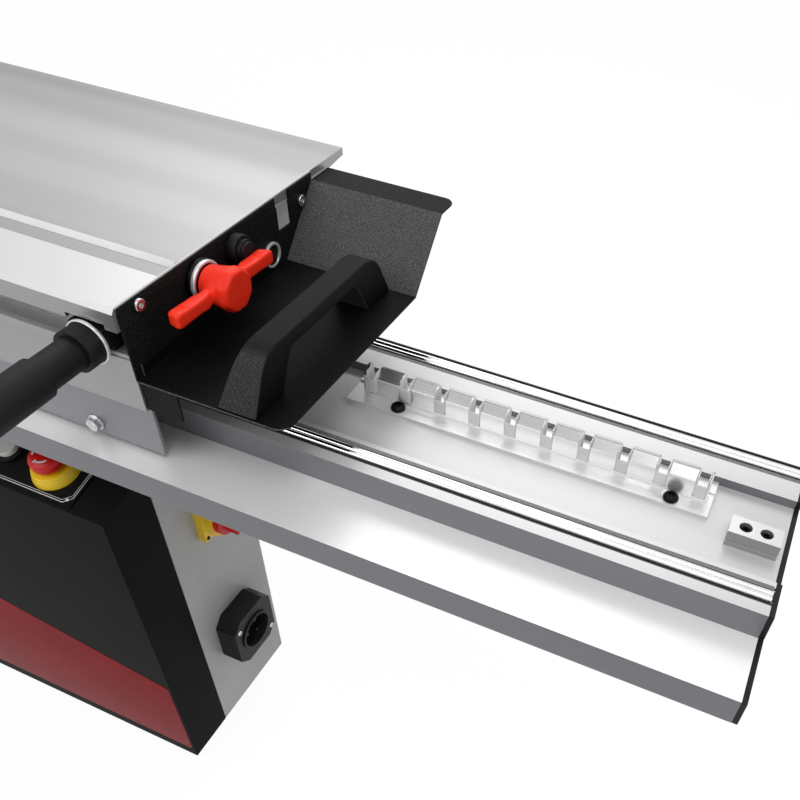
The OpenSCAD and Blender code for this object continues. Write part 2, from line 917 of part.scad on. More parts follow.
module control_panel() {
  plate_w = cover_d - 5;
  color("#303030") difference() {
    panel_place(0) translate([panel_x1 - panel_len, 5 - cover_d * 0.45, 0])
      cube([panel_len, plate_w, panel_t]);
    button_place(estop_x) translate([0, 0, -1]) cylinder(h = panel_t + 2, r = 11);
    button_place(start_x) translate([0, 0, -1]) cylinder(h = panel_t + 2, r = start_r + 1.5);
  }
}

module estop_collar() {
  color("gold") button_place(estop_x) difference() {
    union() {
      translate([0, 0, panel_t]) cylinder(h = collar_h, r1 = estop_d / 2 + 9.5, r2 = estop_d / 2 + 4);
      translate([0, 0, -20]) cylinder(h = 22 + panel_t, r = 10.9);
    }
    translate([0, 0, -21]) cylinder(h = 60, r = 8 + run_fit);
  }
}

module estop_button() {
  head = panel_t + collar_h + press + gap;
  color("red") button_place(estop_x) {
    translate([0, 0, -22]) cylinder(h = head + 23, r = 8);
    translate([0, 0, head]) cylinder(h = 11, r = estop_d / 2);
    translate([0, 0, head + 11]) cylinder(h = 4, r1 = estop_d / 2, r2 = estop_d / 2 - 5);
  }
}

module start_bezel() {
  color("gray") button_place(start_x) difference() {
    union() {
      translate([0, 0, panel_t]) cylinder(h = 7, r = start_r + 5);
      translate([0, 0, -20]) cylinder(h = 22 + panel_t, r = start_r + 1.4);
    }
    translate([0, 0, -21]) cylinder(h = 60, r = start_r + run_fit);
  }
}

module start_button() {
  color("gainsboro") button_place(start_x) translate([0, 0, -22]) cylinder(h = 35 + panel_t, r = start_r);
}

module isolator_plate() {
  color("gold") translate([switch_x, isolator_y, isolator_z]) difference() {
    union() {
      translate([0, -plate_side / 2, -plate_side / 2]) cube([12, plate_side, plate_side]);
      rod_x(12, 24, plate_side / 2 - 1);
    }
    rod_x(-1, 25, 6 + run_fit);
  }
}

module isolator_knob() {
  color("red") translate([switch_x, isolator_y, isolator_z]) {
    rod_x(4, 25, 6);
    rod_x(24 + gap, 33, plate_side / 2 - 6);
    block([32, -6, -22], [46, 6, 22]);
  }
}

// Face of the power inlet, a rectangle with its corners taken off
module inlet_outline() {
  y = inlet_w / 2;
  z = inlet_h / 2;
  c = 16;
  polygon([
    [c - y, -z], [y - c, -z], [y, c - z], [y, z - c], [y - c, z], [c - y, z], [-y, z - c], [-y, c - z]
  ]);
}

module power_inlet() {
  color("#181818") translate([switch_x, inlet_y, inlet_z]) difference() {
    along_x(0, inlet_d) inlet_outline();
    rod_x(14, inlet_d + 1, 27);
  }
  // Contact pins
  color("silver") translate([switch_x, inlet_y, inlet_z]) {
    for (a = [90, 210, 330]) rotate([a, 0, 0]) translate([0, 0, 14]) rod_x(13, inlet_d - 4, 3);
  }
}

// Places of the anchor holes, then those of the two plain feet
function foot_places() = [
  [anchor_x, -anchor_y], [-anchor_x, -anchor_y], [anchor_x, anchor_y], [-anchor_x, anchor_y],
  [base_x1 - 68, -anchor_y], [base_x0 + 68, -anchor_y]
];

module levelling_feet() {
  offset_x = 32;
  color("dimgray") for (p = foot_places()) {
    side = p[0] > 0 ? 1 : -1;
    translate([p[0] - side * offset_x, p[1], 0]) difference() {
      union() {
        translate([-45, -45, 0]) cube([90, 90, 12]);
        translate([-side * 12, 0, 11]) cylinder(h = foot_h - 11, r = 12);
      }
      if (abs(p[0]) == anchor_x) translate([side * offset_x, 0, -1]) cylinder(h = 14, r = anchor_r);
    }
  }
}

module cabinet_pan() {
  color("lightgray") difference() {
    block([-cab_x + cab_t, base_y1, foot_h], [cab_x - cab_t, cab_y1 - cab_t, foot_h + 30]);
    block([-cab_x + 60, base_y1 + 60, foot_h + 4], [cab_x - 60, cab_y1 - 60, foot_h + 31]);
  }
}

module cabinet_walls() {
  port_y = 330;
  port_z = 250;
  color("lightgray") {
    difference() {
      union() {
        along_x(cab_x - cab_t, cab_x) wall_outline();
        // Return lip that the door latch turns behind
        block([cab_x - 28, cab_y1 - 4, foot_h + 40], [cab_x - cab_t, cab_y1, cab_top - 10]);
        // Bosses that the handwheel shafts turn in
        for (y = [tilt_wheel_y, lift_wheel_y]) translate([0, y, wheel_z]) rod_x(cab_x - 20, cab_x + 6, 18);
      }
      for (y = [tilt_wheel_y, lift_wheel_y]) {
        translate([0, y, wheel_z]) rod_x(cab_x - 21, cab_x + 7, 10 + run_fit);
      }
    }
    difference() {
      union() {
        along_x(-cab_x, -cab_x + cab_t) wall_outline();
        translate([0, port_y, port_z]) rod_x(-cab_x - 60, -cab_x, 60);
      }
      translate([0, port_y, port_z]) rod_x(-cab_x - 61, -cab_x + cab_t + 1, 58);
    }
    // Hinge rod that the door turns on
    translate([-cab_x + 12, cab_y1 + 8, foot_h + 20]) cylinder(h = cab_top - foot_h - 40, r = 5);
    for (z = [foot_h + 20, cab_top - 40]) {
      block([-cab_x, cab_y1 - 2, z], [-cab_x + 12, cab_y1 + 6, z + 20]);
    }
  }
}

// Cabinet wall, cut back where the rail and the sliding table pass
module wall_outline() {
  polygon([
    [base_y1, foot_h], [cab_y1, foot_h], [cab_y1, cab_top], [far_edge - 75, cab_top],
    [far_edge - 75, base_top], [base_y1, base_top]
  ]);
}

module cabinet_door() {
  hinge_x = -cab_x + 12;
  color("#303030") difference() {
    union() {
      block([hinge_x + 12, cab_y1 + 3, foot_h + 4], [cab_x - 3, cab_y1 + 6, cab_top - 4]);
      translate([hinge_x, cab_y1 + 8, foot_h + 50]) cylinder(h = cab_top - foot_h - 100, r = 7.5);
      block([hinge_x + 5, cab_y1 + 3, foot_h + 50], [hinge_x + 13, cab_y1 + 8, cab_top - 50]);
    }
    translate([hinge_x, cab_y1 + 8, foot_h]) cylinder(h = cab_top - foot_h, r = 5 + run_fit);
    translate([cab_x - 40, 0, latch_z]) rod_y(cab_y1, cab_y1 + 10, 7 + run_fit);
    // Air louvres
    for (i = [0:5]) block([-120, cab_y1, 180 + i * 30], [120, cab_y1 + 10, 190 + i * 30]);
  }
}

module door_latch() {
  color("black") translate([cab_x - 40, 0, latch_z]) {
    rod_y(cab_y1 - 8.5, cab_y1 + 14, 7);
    rod_y(cab_y1 + 6 + gap, cab_y1 + 14, 16);
    block([-28, cab_y1 + 13, -5], [28, cab_y1 + 22, 5]);
    // Tongue that turns behind the lip of the wall
    block([-6, cab_y1 - 8.5, 0], [6, cab_y1 - 4.5, 26]);
  }
}

module main_table() {
  y0 = table_y0;
  y1 = table_y1;
  low = table_h - rib_h;
  color("silver") difference() {
    union() {
      block([-cab_x, y0, table_h - plate_t], [cab_x, y1, table_h]);
      for (x = [-cab_x, cab_x - 12]) block([x, y0 + 20, low], [x + 12, y1, table_h - 1]);
      for (x = [-220, 208]) block([x, y0 + 110, low], [x + 12, y1, table_h - 1]);
      block([-cab_x, y1 - 12, low], [cab_x, y1, table_h - 1]);
      block([-cab_x, y0 + 110, low], [-208, y0 + 122, table_h - 1]);
      block([208, y0 + 110, low], [cab_x, y0 + 122, table_h - 1]);
      // Ledge that carries the slot insert
      for (x = [-cab_x, 290]) block([x, insert_y0, low + 15], [x + 140, y0 + 30, table_h - insert_t]);
      // Lugs that carry the fence bar
      for (y = [y0 + 60, y1 - 90]) block([cab_x, y, bar_z - 14], [bar_x, y + 30, bar_z + 14]);
    }
    translate([bar_x, 0, bar_z]) rod_y(y0, y1 + 1, bar_d / 2 + run_fit);
  }
}

module table_insert() {
  color("silver") difference() {
    block([-cab_x, insert_y0, table_h - insert_t], [cab_x, table_y0, table_h]);
    block([-blade_r - 50, -insert_t - 3, table_h - insert_t - 1], [blade_r + 14, 4.5, table_h + 1]);
  }
}

module extension_table() {
  y1 = table_y1 + ext_w;
  color("silver") {
    block([-cab_x, table_y1, table_h - 4], [cab_x, y1, table_h]);
    block([-cab_x, table_y1, table_h - rib_h], [-cab_x + 3, y1, table_h - 3]);
    block([cab_x - 3, table_y1, table_h - rib_h], [cab_x, y1, table_h - 3]);
    block([-cab_x, y1 - 3, table_h - rib_h], [cab_x, y1, table_h - 3]);
    block([-cab_x, table_y1, table_h - rib_h], [cab_x, table_y1 + 3, table_h - 3]);
    for (x = [-150, 150]) block([x, table_y1, table_h - rib_h], [x + 3, y1, table_h - 3]);
  }
}

module fence_bar() {
  y0 = table_y0 + 20;
  color("lightgray") translate([bar_x, 0, bar_z]) {
    rod_y(y0, y0 + bar_len, bar_d / 2);
  }
  // Collars at both ends keep the fence on the bar
  color("black") translate([bar_x, 0, bar_z]) {
    rod_y(y0 - 12, y0, bar_d / 2 + 3);
    rod_y(y0 + bar_len, y0 + bar_len + 12, bar_d / 2 + 3);
  }
}

module fence_carrier() {
  y0 = fence_y;
  top = table_h + 22;
  color("dimgray") difference() {
    union() {
      block([bar_x - 2, y0, bar_z - 34], [bar_x + 34, y0 + carrier_w, top]);
      block([bar_x - 60, y0 + 14, table_h + 0.5], [bar_x, y0 + carrier_w - 14, top]);
      translate([bar_x, 0, bar_z]) rod_y(y0, y0 + carrier_w, bar_d / 2 + 9);
    }
    translate([bar_x, 0, bar_z]) rod_y(y0 - 1, y0 + carrier_w + 1, bar_d / 2 + run_fit);
    // Open underneath, so that it passes the lugs of the bar
    block([bar_x - 40, y0 - 1, bar_z - 40], [bar_x + 1, y0 + carrier_w + 1, bar_z + 16]);
    translate([bar_x + 16, y0 + carrier_w / 2, top - 30]) cylinder(h = 40, r = 8 + run_fit);
  }
}

module rip_fence() {
  y0 = fence_y + 26;
  x1 = bar_x - 60;
  color("gainsboro") along_x(x1 - fence_len, x1) difference() {
    translate([y0 - 26, table_h + 1]) square([fence_w, fence_h]);
    translate([y0 - 22, table_h + 5]) square([fence_w - 8, fence_h / 2 - 8]);
    translate([y0 - 22, table_h + fence_h / 2 + 1]) square([fence_w - 8, fence_h / 2 - 4]);
    translate([y0 - 27, table_h + fence_h - 22]) square([3, 8]);
  }
  // Foot that joins it to the carrier
  color("gainsboro")
    block([x1 - 40, fence_y + fence_w, table_h + 1], [x1, fence_y + carrier_w - 14, table_h + 20]);
}

module fence_lever() {
  color("red") translate([bar_x + 16, fence_y + carrier_w / 2, table_h]) {
    translate([0, 0, -4]) cylinder(h = 36, r = 8);
    translate([0, 0, 22.3]) cylinder(h = 14, r = 13);
    translate([0, 0, 30]) rotate([0, 75, 0]) cylinder(h = 80, r = 6);
    translate([0, 0, 30]) rotate([0, 75, 0]) translate([0, 0, 78]) sphere(r = 12);
  }
}

module trunnions() {
  color("gray") for (side = [-1, 1]) {
    x0 = side > 0 ? trunnion_x : -trunnion_x - trunnion_t;
    difference() {
      along_x(x0, x0 + trunnion_t) {
        arc_sector(arc_r - 18, arc_r + arc_w + 18, -42, 44);
        translate([table_y0 + 2, table_h - 150]) square([60, 150 - rib_h + 15]);
      }
      along_x(x0 - 1, x0 + trunnion_t + 1) arc_sector(arc_r, arc_r + arc_w, -36, 40);
    }
  }
}

module tilt_frame() {
  win = 100;
  low = motor_z - 130;
  color("dimgray") {
    difference() {
      block([-trunnion_x + 20, tilt_y, low], [trunnion_x - 20, tilt_y + tilt_t, table_h - 62]);
      block([-win, tilt_y - 1, low + 30], [win, tilt_y + tilt_t + 1, table_h]);
    }
    // Lugs that hold the lift columns
    for (x = [-1, 1] * column_gap / 2, z = [low, table_h - 75]) {
      block([x - 18, column_y - 18, z], [x + 18, tilt_y, z + 13]);
    }
    for (x = [-1, 1] * column_gap / 2) {
      translate([x, column_y, low]) cylinder(h = table_h - 62 - low, d = column_d);
    }
    // Cheeks with the arc keys
    for (side = [-1, 1]) {
      x0 = side > 0 ? trunnion_x - 20 : -trunnion_x + 10;
      along_x(x0, x0 + cheek_t) arc_sector(arc_r - 60, arc_r + arc_w + 30, 14, 46);
      key0 = side > 0 ? x0 + cheek_t - 1 : x0 - cheek_t - 3;
      along_x(key0, key0 + 14) arc_sector(arc_r + gap, arc_r + arc_w - gap, 16, 38);
    }
  }
}

module lift_carriage() {
  x = column_gap / 2;
  color("gray") difference() {
    union() {
      block([-x - 26, lift_y, motor_z - 60], [x + 26, lift_y + lift_t, table_h - 165]);
      block([-60, lift_y, motor_z], [60, lift_y + lift_t, table_h - 80]);
      translate([0, 0, arbor_z]) rod_y(14, 70, housing_r);
      for (s = [-1, 1]) {
        translate([s * x, column_y, motor_z - 60]) cylinder(h = 60, r = boss_r);
        translate([s * x, column_y, table_h - 230]) cylinder(h = 60, r = boss_r);
      }
      // Arms to the motor face, through the window of the tilt frame
      for (s = [-1, 1]) block([s * 74 - 9, lift_y, motor_z - 20], [s * 74 + 9, motor_y, motor_z + 20]);
      // Arm of the riving knife
      block([-blade_r - 32, 4, arbor_z - 70], [-blade_r + 6, lift_y + 1, arbor_z - 30]);
      block([-blade_r - 32, lift_y, arbor_z - 90], [-x, lift_y + lift_t, arbor_z - 30]);
    }
    for (s = [-1, 1]) {
      translate([s * x, column_y, motor_z - 70]) cylinder(h = table_h - motor_z, d = column_d + 2 * run_fit);
    }
    translate([0, 0, arbor_z]) rod_y(13, 71, arbor_r + run_fit);
  }
}

module saw_arbor() {
  color("silver") translate([0, 0, arbor_z]) {
    rod_y(-24, pulley_y + pulley_w, arbor_r);
    rod_y(blade_t / 2, 13, flange_r);
  }
  color("dimgray") translate([0, 0, arbor_z]) pulley(small_pulley_r);
}

// Pulley with three belt grooves
module pulley(r) {
  difference() {
    rod_y(pulley_y, pulley_y + pulley_w, r);
    for (i = [0:2]) {
      translate([0, pulley_y + 5 + i * 7, 0]) rotate([-90, 0, 0]) difference() {
        cylinder(h = 2.5, r = r + 1);
        cylinder(h = 2.5, r = r - 2);
      }
    }
  }
}

module blade_nut() {
  color("gray") translate([0, 0, arbor_z]) difference() {
    union() {
      rod_y(-blade_t / 2 - 8, -blade_t / 2, flange_r);
      translate([0, -blade_t / 2 - 8, 0]) rotate([90, 0, 0]) cylinder(h = 14, r = 21, $fn = 6);
    }
    rod_y(-30, 0, arbor_r);
  }
}

module main_blade() {
  tooth = 360 / blade_teeth;
  color("lightgray") translate([0, 0, arbor_z]) rotate([90, 0, 0]) translate([0, 0, -blade_t / 2])
    linear_extrude(blade_t) difference() {
      polygon([
        for (i = [0:blade_teeth - 1], p = [[blade_r - 8, 0.1], [blade_r - 9, 0.45], [blade_r, 0.95]])
          [p[0] * cos((i + p[1]) * tooth), p[0] * sin((i + p[1]) * tooth)]
      ]);
      circle(r = arbor_r);
      for (a = [0:90:270]) rotate(a + 45) translate([blade_r * 0.62, 0]) circle(r = 9);
    }
}

module riving_knife() {
  steps = 16;
  inner = blade_r + 6;
  outer = blade_r + 34;
  function at(r, a) = [r * cos(a), r * sin(a)];
  color("gray") translate([0, 1.4, arbor_z]) rotate([90, 0, 0]) linear_extrude(2.8) {
    polygon(concat(
      [for (i = [0:steps]) at(inner, 128 + 72 * i / steps)],
      [for (i = [steps:-1:0]) at(outer - 14 + 14 * i / steps, 128 + 72 * i / steps)]
    ));
  }
  // Clamp block on the arm
  color("gray") block([-blade_r - 30, 1.4, arbor_z - 66], [-blade_r - 6, 4, arbor_z - 34]);
}

module saw_motor() {
  r = motor_d / 2;
  color("dimgray") translate([0, 0, motor_z]) difference() {
    union() {
      rod_y(motor_y, motor_y + motor_len, r);
      rod_y(motor_y + motor_len, motor_y + motor_len + 25, r - 8);
      block([-60, motor_y + 60, r - 6], [60, motor_y + 160, r + 26]);
    }
    rod_y(motor_y - 1, motor_y + 30, 12 + run_fit);
  }
}

module motor_pulley() {
  color("dimgray") translate([0, 0, motor_z]) {
    pulley(big_pulley_r);
    rod_y(pulley_y, motor_y + 28, 12);
  }
}

module drive_belt() {
  belt_t = 5;
  y = pulley_y + 4;
  module loop(extra) {
    hull() {
      translate([0, arbor_z]) circle(r = small_pulley_r + gap + extra, $fn = 64);
      translate([0, motor_z]) circle(r = big_pulley_r + gap + extra, $fn = 64);
    }
  }
  color("black") translate([0, y + 17, 0]) rotate([90, 0, 0]) linear_extrude(17) difference() {
    loop(belt_t);
    loop(0);
  }
}

// Handwheel on a shaft along X that passes through the cabinet wall
module handwheel() {
  r = wheel_d / 2;
  color("black") {
    rod_x(cab_x - 40, wheel_x + 20, 10);
    rod_x(wheel_x - 6, wheel_x + 18, 20);
    for (a = [0, 120, 240]) rotate([a, 0, 0]) block([wheel_x + 2, -6, 12], [wheel_x + 12, 6, r - 8]);
    translate([wheel_x + 7, 0, 0]) rotate([0, 90, 0]) rotate_extrude() translate([r - 8, 0]) circle(r = 8);
    translate([0, r - 8, 0]) rod_x(wheel_x + 7, wheel_x + 60, 8);
  }
}

module tilt_handwheel() {
  translate([0, tilt_wheel_y, wheel_z]) handwheel();
}

module lift_handwheel() {
  translate([0, lift_wheel_y, wheel_z]) handwheel();
}

base_frame();
front_cover();
control_panel();
estop_collar();
estop_button();
start_bezel();
start_button();
isolator_plate();
isolator_knob();
power_inlet();
levelling_feet();
cabinet_pan();
cabinet_walls();
cabinet_door();
door_latch();
main_table();
table_insert();
extension_table();
fence_bar();
fence_carrier();
rip_fence();
fence_lever();
trunnions();
base_rail();
guide_rods();
rail_end_caps();
rail_brackets();
comb_bracket();
comb_bar();
comb_screws();
stop_blocks();
carriage_deck();
carriage_runners();
apron_plate();
apron_bolts();
end_plate();
end_screws();
tray();
bow_handle();
latch_bearing();
bumper();
push_tube();
tube_collar();
travel_stop();
lock_knob();
latch_shaft();
latch_pawl();
roller_cages();
cage_rollers();
tilt_frame();
lift_carriage();
saw_arbor();
blade_nut();
main_blade();
riving_knife();
saw_motor();
motor_pulley();
drive_belt();
tilt_handwheel();
lift_handwheel();
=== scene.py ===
# %% [markdown]
# # A sliding table saw in a plain studio
# This lesson dresses a finished CAD model of a sliding table saw. The solids come in as a fixed frame,
# so nothing has to be fitted: each finish and each small piece goes where the frame says. Distances are
# in metres, X runs along the sliding table, Y away from the operator and Z up from the floor.

# %% Load the frame
import math

import bmesh
import bpy
from mathutils import Matrix, Vector


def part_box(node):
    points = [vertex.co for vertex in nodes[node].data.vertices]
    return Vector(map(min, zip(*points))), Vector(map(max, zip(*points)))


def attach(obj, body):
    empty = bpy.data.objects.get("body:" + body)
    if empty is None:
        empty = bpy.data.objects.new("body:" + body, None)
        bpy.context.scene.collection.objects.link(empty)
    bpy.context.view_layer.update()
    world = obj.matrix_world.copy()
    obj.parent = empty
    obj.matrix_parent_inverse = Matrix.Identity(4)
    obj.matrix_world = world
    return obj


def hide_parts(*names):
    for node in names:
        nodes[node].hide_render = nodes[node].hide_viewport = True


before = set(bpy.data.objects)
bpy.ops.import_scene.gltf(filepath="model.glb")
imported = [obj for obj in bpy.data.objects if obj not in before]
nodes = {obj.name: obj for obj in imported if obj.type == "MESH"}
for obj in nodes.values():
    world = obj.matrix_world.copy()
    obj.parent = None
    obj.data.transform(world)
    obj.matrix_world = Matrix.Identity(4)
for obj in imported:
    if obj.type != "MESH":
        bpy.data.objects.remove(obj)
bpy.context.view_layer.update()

# %% [markdown]
# ## Where things are
# The sliding table ends at `END_X`. Its near edge is `NEAR_Y` and its top `TOP_Z`. Measures below are
# given from that corner, in millimetres, as a maker would.

# %% Corner of the deck that all measures start from
MM = 0.001
deck_low, deck_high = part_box("carriage_deck")
END_X = deck_high[0]
NEAR_Y = deck_low[1]
TOP_Z = deck_high[2]


def at(x, y, z):
    """A point x mm past the deck's end, y mm in from its near edge and z mm above its top."""
    return Vector((END_X + x * MM, NEAR_Y + y * MM, TOP_Z + z * MM))


def middle(name):
    """The middle of a node's CAD box."""
    return Vector([(a + b) / 2 for a, b in zip(*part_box(name))])


print("deck corner", at(0, 0, 0), "deck middle", middle("carriage_deck"))

# %% [markdown]
# ## Camera
# The photograph looks down on the end of the table from the operator's side. The camera was solved from
# the straight edges of the table and rail, so its place, its axes and its shift are written as measured.

# %% Camera
camera_data = bpy.data.cameras.new("Camera")
camera = bpy.data.objects.new("Camera", camera_data)
bpy.context.scene.collection.objects.link(camera)
camera_data.sensor_width = 36
camera_data.lens = 37.48
camera_data.shift_x = -0.1178
camera_data.shift_y = 0.1447
camera_data.clip_start = 0.05
camera_data.clip_end = 100
right = Vector((0.91649, 0.39588, 0.05774))
down = Vector((0.32351, -0.64842, -0.68912))
forward = Vector((-0.23537, 0.65025, -0.72234))
turn = Matrix((right, -down, -forward)).transposed()
camera.matrix_world = Matrix.Translation(at(510.39, -434.01, 400.62)) @ turn.to_4x4()
bpy.context.scene.camera = camera
print("camera", camera.matrix_world.translation)

# %% [markdown]
# ## Light, floor and background
# A product photograph has large soft lamps and a white surround. The world is white where the camera or a
# reflection sees it, and dimmer as a light, so the background is clean without flooding the machine. The
# photograph is lit from behind and above: the tops are bright and the faces towards the operator grey.

# %% World


def seen_directly(tree):
    """1 for camera, glossy and transmission rays, 0 for rays that carry light."""
    path = tree.nodes.new("ShaderNodeLightPath")
    total = None
    for name in ("Is Camera Ray", "Is Glossy Ray", "Is Transmission Ray"):
        if total is None:
            total = path.outputs[name]
            continue
        step = tree.nodes.new("ShaderNodeMath")
        step.operation = "MAXIMUM"
        tree.links.new(total, step.inputs[0])
        tree.links.new(path.outputs[name], step.inputs[1])
        total = step.outputs[0]
    return total


world = bpy.data.worlds.new("Studio")
bpy.context.scene.world = world
world.use_nodes = True
tree = world.node_tree
tree.nodes.clear()
mix = tree.nodes.new("ShaderNodeMixShader")
tree.links.new(seen_directly(tree), mix.inputs[0])
for socket, strength in ((1, 0.34), (2, 1.0)):
    light = tree.nodes.new("ShaderNodeBackground")
    light.inputs["Color"].default_value = (1, 1, 1, 1)
    light.inputs["Strength"].default_value = strength
    tree.links.new(light.outputs[0], mix.inputs[socket])
world_out = tree.nodes.new("ShaderNodeOutputWorld")
tree.links.new(mix.outputs[0], world_out.inputs["Surface"])
print("world nodes", len(tree.nodes))

# %% Lamps


def soft_lamp(name, place, target, size, power):
    """A soft rectangular lamp that faces target, both given from the deck corner."""
    data = bpy.data.lights.new(name, "AREA")
    data.shape = "RECTANGLE"
    data.size, data.size_y = size
    data.energy = power
    lamp = bpy.data.objects.new(name, data)
    bpy.context.scene.collection.objects.link(lamp)
    lamp.location = at(*place)
    facing = at(*target) - at(*place)
    lamp.rotation_euler = facing.to_track_quat("-Z", "Y").to_euler()


soft_lamp("KeyLamp", (-900, 2600, 2400), (-200, 200, -150), (3.0, 2.0), 42)
soft_lamp("SideLamp", (2700, 300, 1500), (100, 150, -200), (1.6, 1.6), 12)
soft_lamp("FrontLamp", (-1500, -2300, 2000), (-300, 100, -200), (3.0, 1.8), 38)
soft_lamp("TopLamp", (900, -900, 2600), (150, -50, -150), (1.2, 1.2), 26)
print("lamps", len(bpy.data.lights))

# %% [markdown]
# The floor is a plane of pale paper. Most of what the camera sees of it is a plain white glow, mixed with
# its lit surface, so that it stays white and still takes the soft shadow of the machine.

# %% Floor
bpy.ops.object.select_all(action="DESELECT")
bpy.ops.mesh.primitive_plane_add(size=40, location=(0, 0, -0.0005))
floor = bpy.context.active_object
floor.name = "Floor"
floor_mat = bpy.data.materials.new("FloorPaper")
floor_mat.use_nodes = True
tree = floor_mat.node_tree
paper = tree.nodes["Principled BSDF"]
paper.inputs["Base Color"].default_value = (0.8, 0.8, 0.8, 1)
paper.inputs["Roughness"].default_value = 0.9
glow = tree.nodes.new("ShaderNodeEmission")
glow.inputs["Strength"].default_value = 1.05
share = tree.nodes.new("ShaderNodeMath")
share.operation = "MULTIPLY"
share.inputs[1].default_value = 0.9
tree.links.new(seen_directly(tree), share.inputs[0])
floor_mix = tree.nodes.new("ShaderNodeMixShader")
tree.links.new(share.outputs[0], floor_mix.inputs[0])
tree.links.new(paper.outputs[0], floor_mix.inputs[1])
tree.links.new(glow.outputs[0], floor_mix.inputs[2])
tree.links.new(floor_mix.outputs[0], tree.nodes["Material Output"].inputs["Surface"])
floor.data.materials.append(floor_mat)
print("floor", floor.dimensions.x, "m wide")

# %% [markdown]
# ## Finishes
# Every finish is built from nodes on Object coordinates, which are the machine's own metres. One helper
# starts a material, and small ones add what metal and paint share: drawn grain, cloudy colour and a
# fine bump.

# %% Material helpers


def linear(*rgb):
    """A colour given as screen values from 0 to 255."""
    def one(c):
        c = c / 255
        return c / 12.92 if c <= 0.04045 else ((c + 0.055) / 1.055) ** 2.4
    return tuple(one(c) for c in rgb) + (1,)


def grey(value, cast=0):
    """A grey screen value, with a little more blue if cast is above 0."""
    return linear(value, value, value + cast)


def start_material(name, roughness, metallic=0.0, specular=0.5, coat=0.0):
    """An empty principled material."""
    mat = bpy.data.materials.new(name)
    mat.use_nodes = True
    bsdf = mat.node_tree.nodes["Principled BSDF"]
    bsdf.inputs["Roughness"].default_value = roughness
    bsdf.inputs["Metallic"].default_value = metallic
    bsdf.inputs["Specular IOR Level"].default_value = specular
    bsdf.inputs["Coat Weight"].default_value = coat
    return mat


def add_node(mat, kind, **values):
    """A node of that kind, with its inputs set by name."""
    node = mat.node_tree.nodes.new(kind)
    for key, value in values.items():
        node.inputs[key.replace("_", " ")].default_value = value
    return node


def join(mat, out, target):
    mat.node_tree.links.new(out, target)


def stretched(mat, scale):
    """Object coordinates stretched by a Mapping node."""
    coord = mat.node_tree.nodes.new("ShaderNodeTexCoord")
    mapping = mat.node_tree.nodes.new("ShaderNodeMapping")
    mapping.inputs["Scale"].default_value = scale
    join(mat, coord.outputs["Object"], mapping.inputs["Vector"])
    return mapping.outputs["Vector"]


def noise(mat, scale, detail=3.0, rough=0.55):
    """Noise on stretched Object coordinates."""
    node = add_node(mat, "ShaderNodeTexNoise", Scale=1.0, Detail=detail, Roughness=rough)
    join(mat, stretched(mat, scale), node.inputs["Vector"])
    return node.outputs["Fac"]


def ramp(mat, fac, low, high, start=0.3, end=0.7):
    """Colour that runs from low to high as fac does."""
    node = mat.node_tree.nodes.new("ShaderNodeValToRGB")
    node.color_ramp.elements[0].position = start
    node.color_ramp.elements[0].color = low
    node.color_ramp.elements[1].position = end
    node.color_ramp.elements[1].color = high
    join(mat, fac, node.inputs["Fac"])
    return node.outputs["Color"]


def span(mat, fac, low, high):
    """Number that runs from low to high as fac does."""
    node = mat.node_tree.nodes.new("ShaderNodeMapRange")
    node.inputs["To Min"].default_value = low
    node.inputs["To Max"].default_value = high
    join(mat, fac, node.inputs["Value"])
    return node.outputs["Result"]


def calculate(mat, operation, first, second=None):
    """A Math node; each input is a socket or a number."""
    node = mat.node_tree.nodes.new("ShaderNodeMath")
    node.operation = operation
    for socket, value in zip(node.inputs, (first, second)):
        if hasattr(value, "links"):
            join(mat, value, socket)
        elif value is not None:
            socket.default_value = value
    return node.outputs[0]


def blend_colour(mat, fac, first, second):
    """Two colours mixed by fac; either may be a socket or a value."""
    node = mat.node_tree.nodes.new("ShaderNodeMix")
    node.data_type = "RGBA"
    sockets = [s for s in node.inputs if s.type == "RGBA"]
    for socket, value in zip(sockets, (first, second)):
        if hasattr(value, "links"):
            join(mat, value, socket)
        else:
            socket.default_value = value
    join(mat, fac, node.inputs["Factor"])
    return [s for s in node.outputs if s.type == "RGBA"][0]


def bsdf_of(mat):
    return mat.node_tree.nodes["Principled BSDF"]


def wear(mat, colour, fac, start, end):
    """Plug in a colour, and a roughness that runs from start to end as fac does."""
    join(mat, colour, bsdf_of(mat).inputs["Base Color"])
    join(mat, span(mat, fac, start, end), bsdf_of(mat).inputs["Roughness"])


def bump(mat, height, strength, distance):
    """Fine relief from a height between 0 and 1."""
    node = add_node(mat, "ShaderNodeBump", Strength=strength, Distance=distance)
    join(mat, height, node.inputs["Height"])
    join(mat, node.outputs["Normal"], bsdf_of(mat).inputs["Normal"])


# %% [markdown]
# ### Metals
# Anodised aluminium is half a mirror and half a white powder, so it is only partly metallic. Extrusions
# carry fine drawn lines along their length, so the noise is squeezed hard across X, and broad soft bands
# where the die has worn. Tops and sides get different colours, told apart by the surface normal: this is
# painted light, a painted shade on the sides of most parts and a painted highlight on the front of the
# comb. A brighter strip along the operator's side of the deck and the rail is painted light too. Ground
# cast iron has a softer cloud, and turned or rolled steel a faint one.

# %% Metals


def mask(mat, kind, output, axis, start, end):
    """0 to 1 as one axis of a node's output runs from start to end."""
    source = mat.node_tree.nodes.new(kind)
    axes = mat.node_tree.nodes.new("ShaderNodeSeparateXYZ")
    join(mat, source.outputs[output], axes.inputs[0])
    node = add_node(mat, "ShaderNodeMapRange", From_Min=start, From_Max=end)
    join(mat, axes.outputs[axis], node.inputs["Value"])
    return node.outputs["Result"]


def top_light_mask(mat):
    """1 on faces that look up, 0 on the sides of an extrusion, from the surface normal; used to paint light
    by facing.
    """
    return mask(mat, "ShaderNodeNewGeometry", "Normal", "Z", 0.35, 0.95)


def wall_light_mask(mat):
    """1 on faces that look towards the operator and up, 0 on level and far faces; used to paint light on
    such walls.
    """
    return mask(mat, "ShaderNodeNewGeometry", "Normal", "Y", -0.35, -0.6)


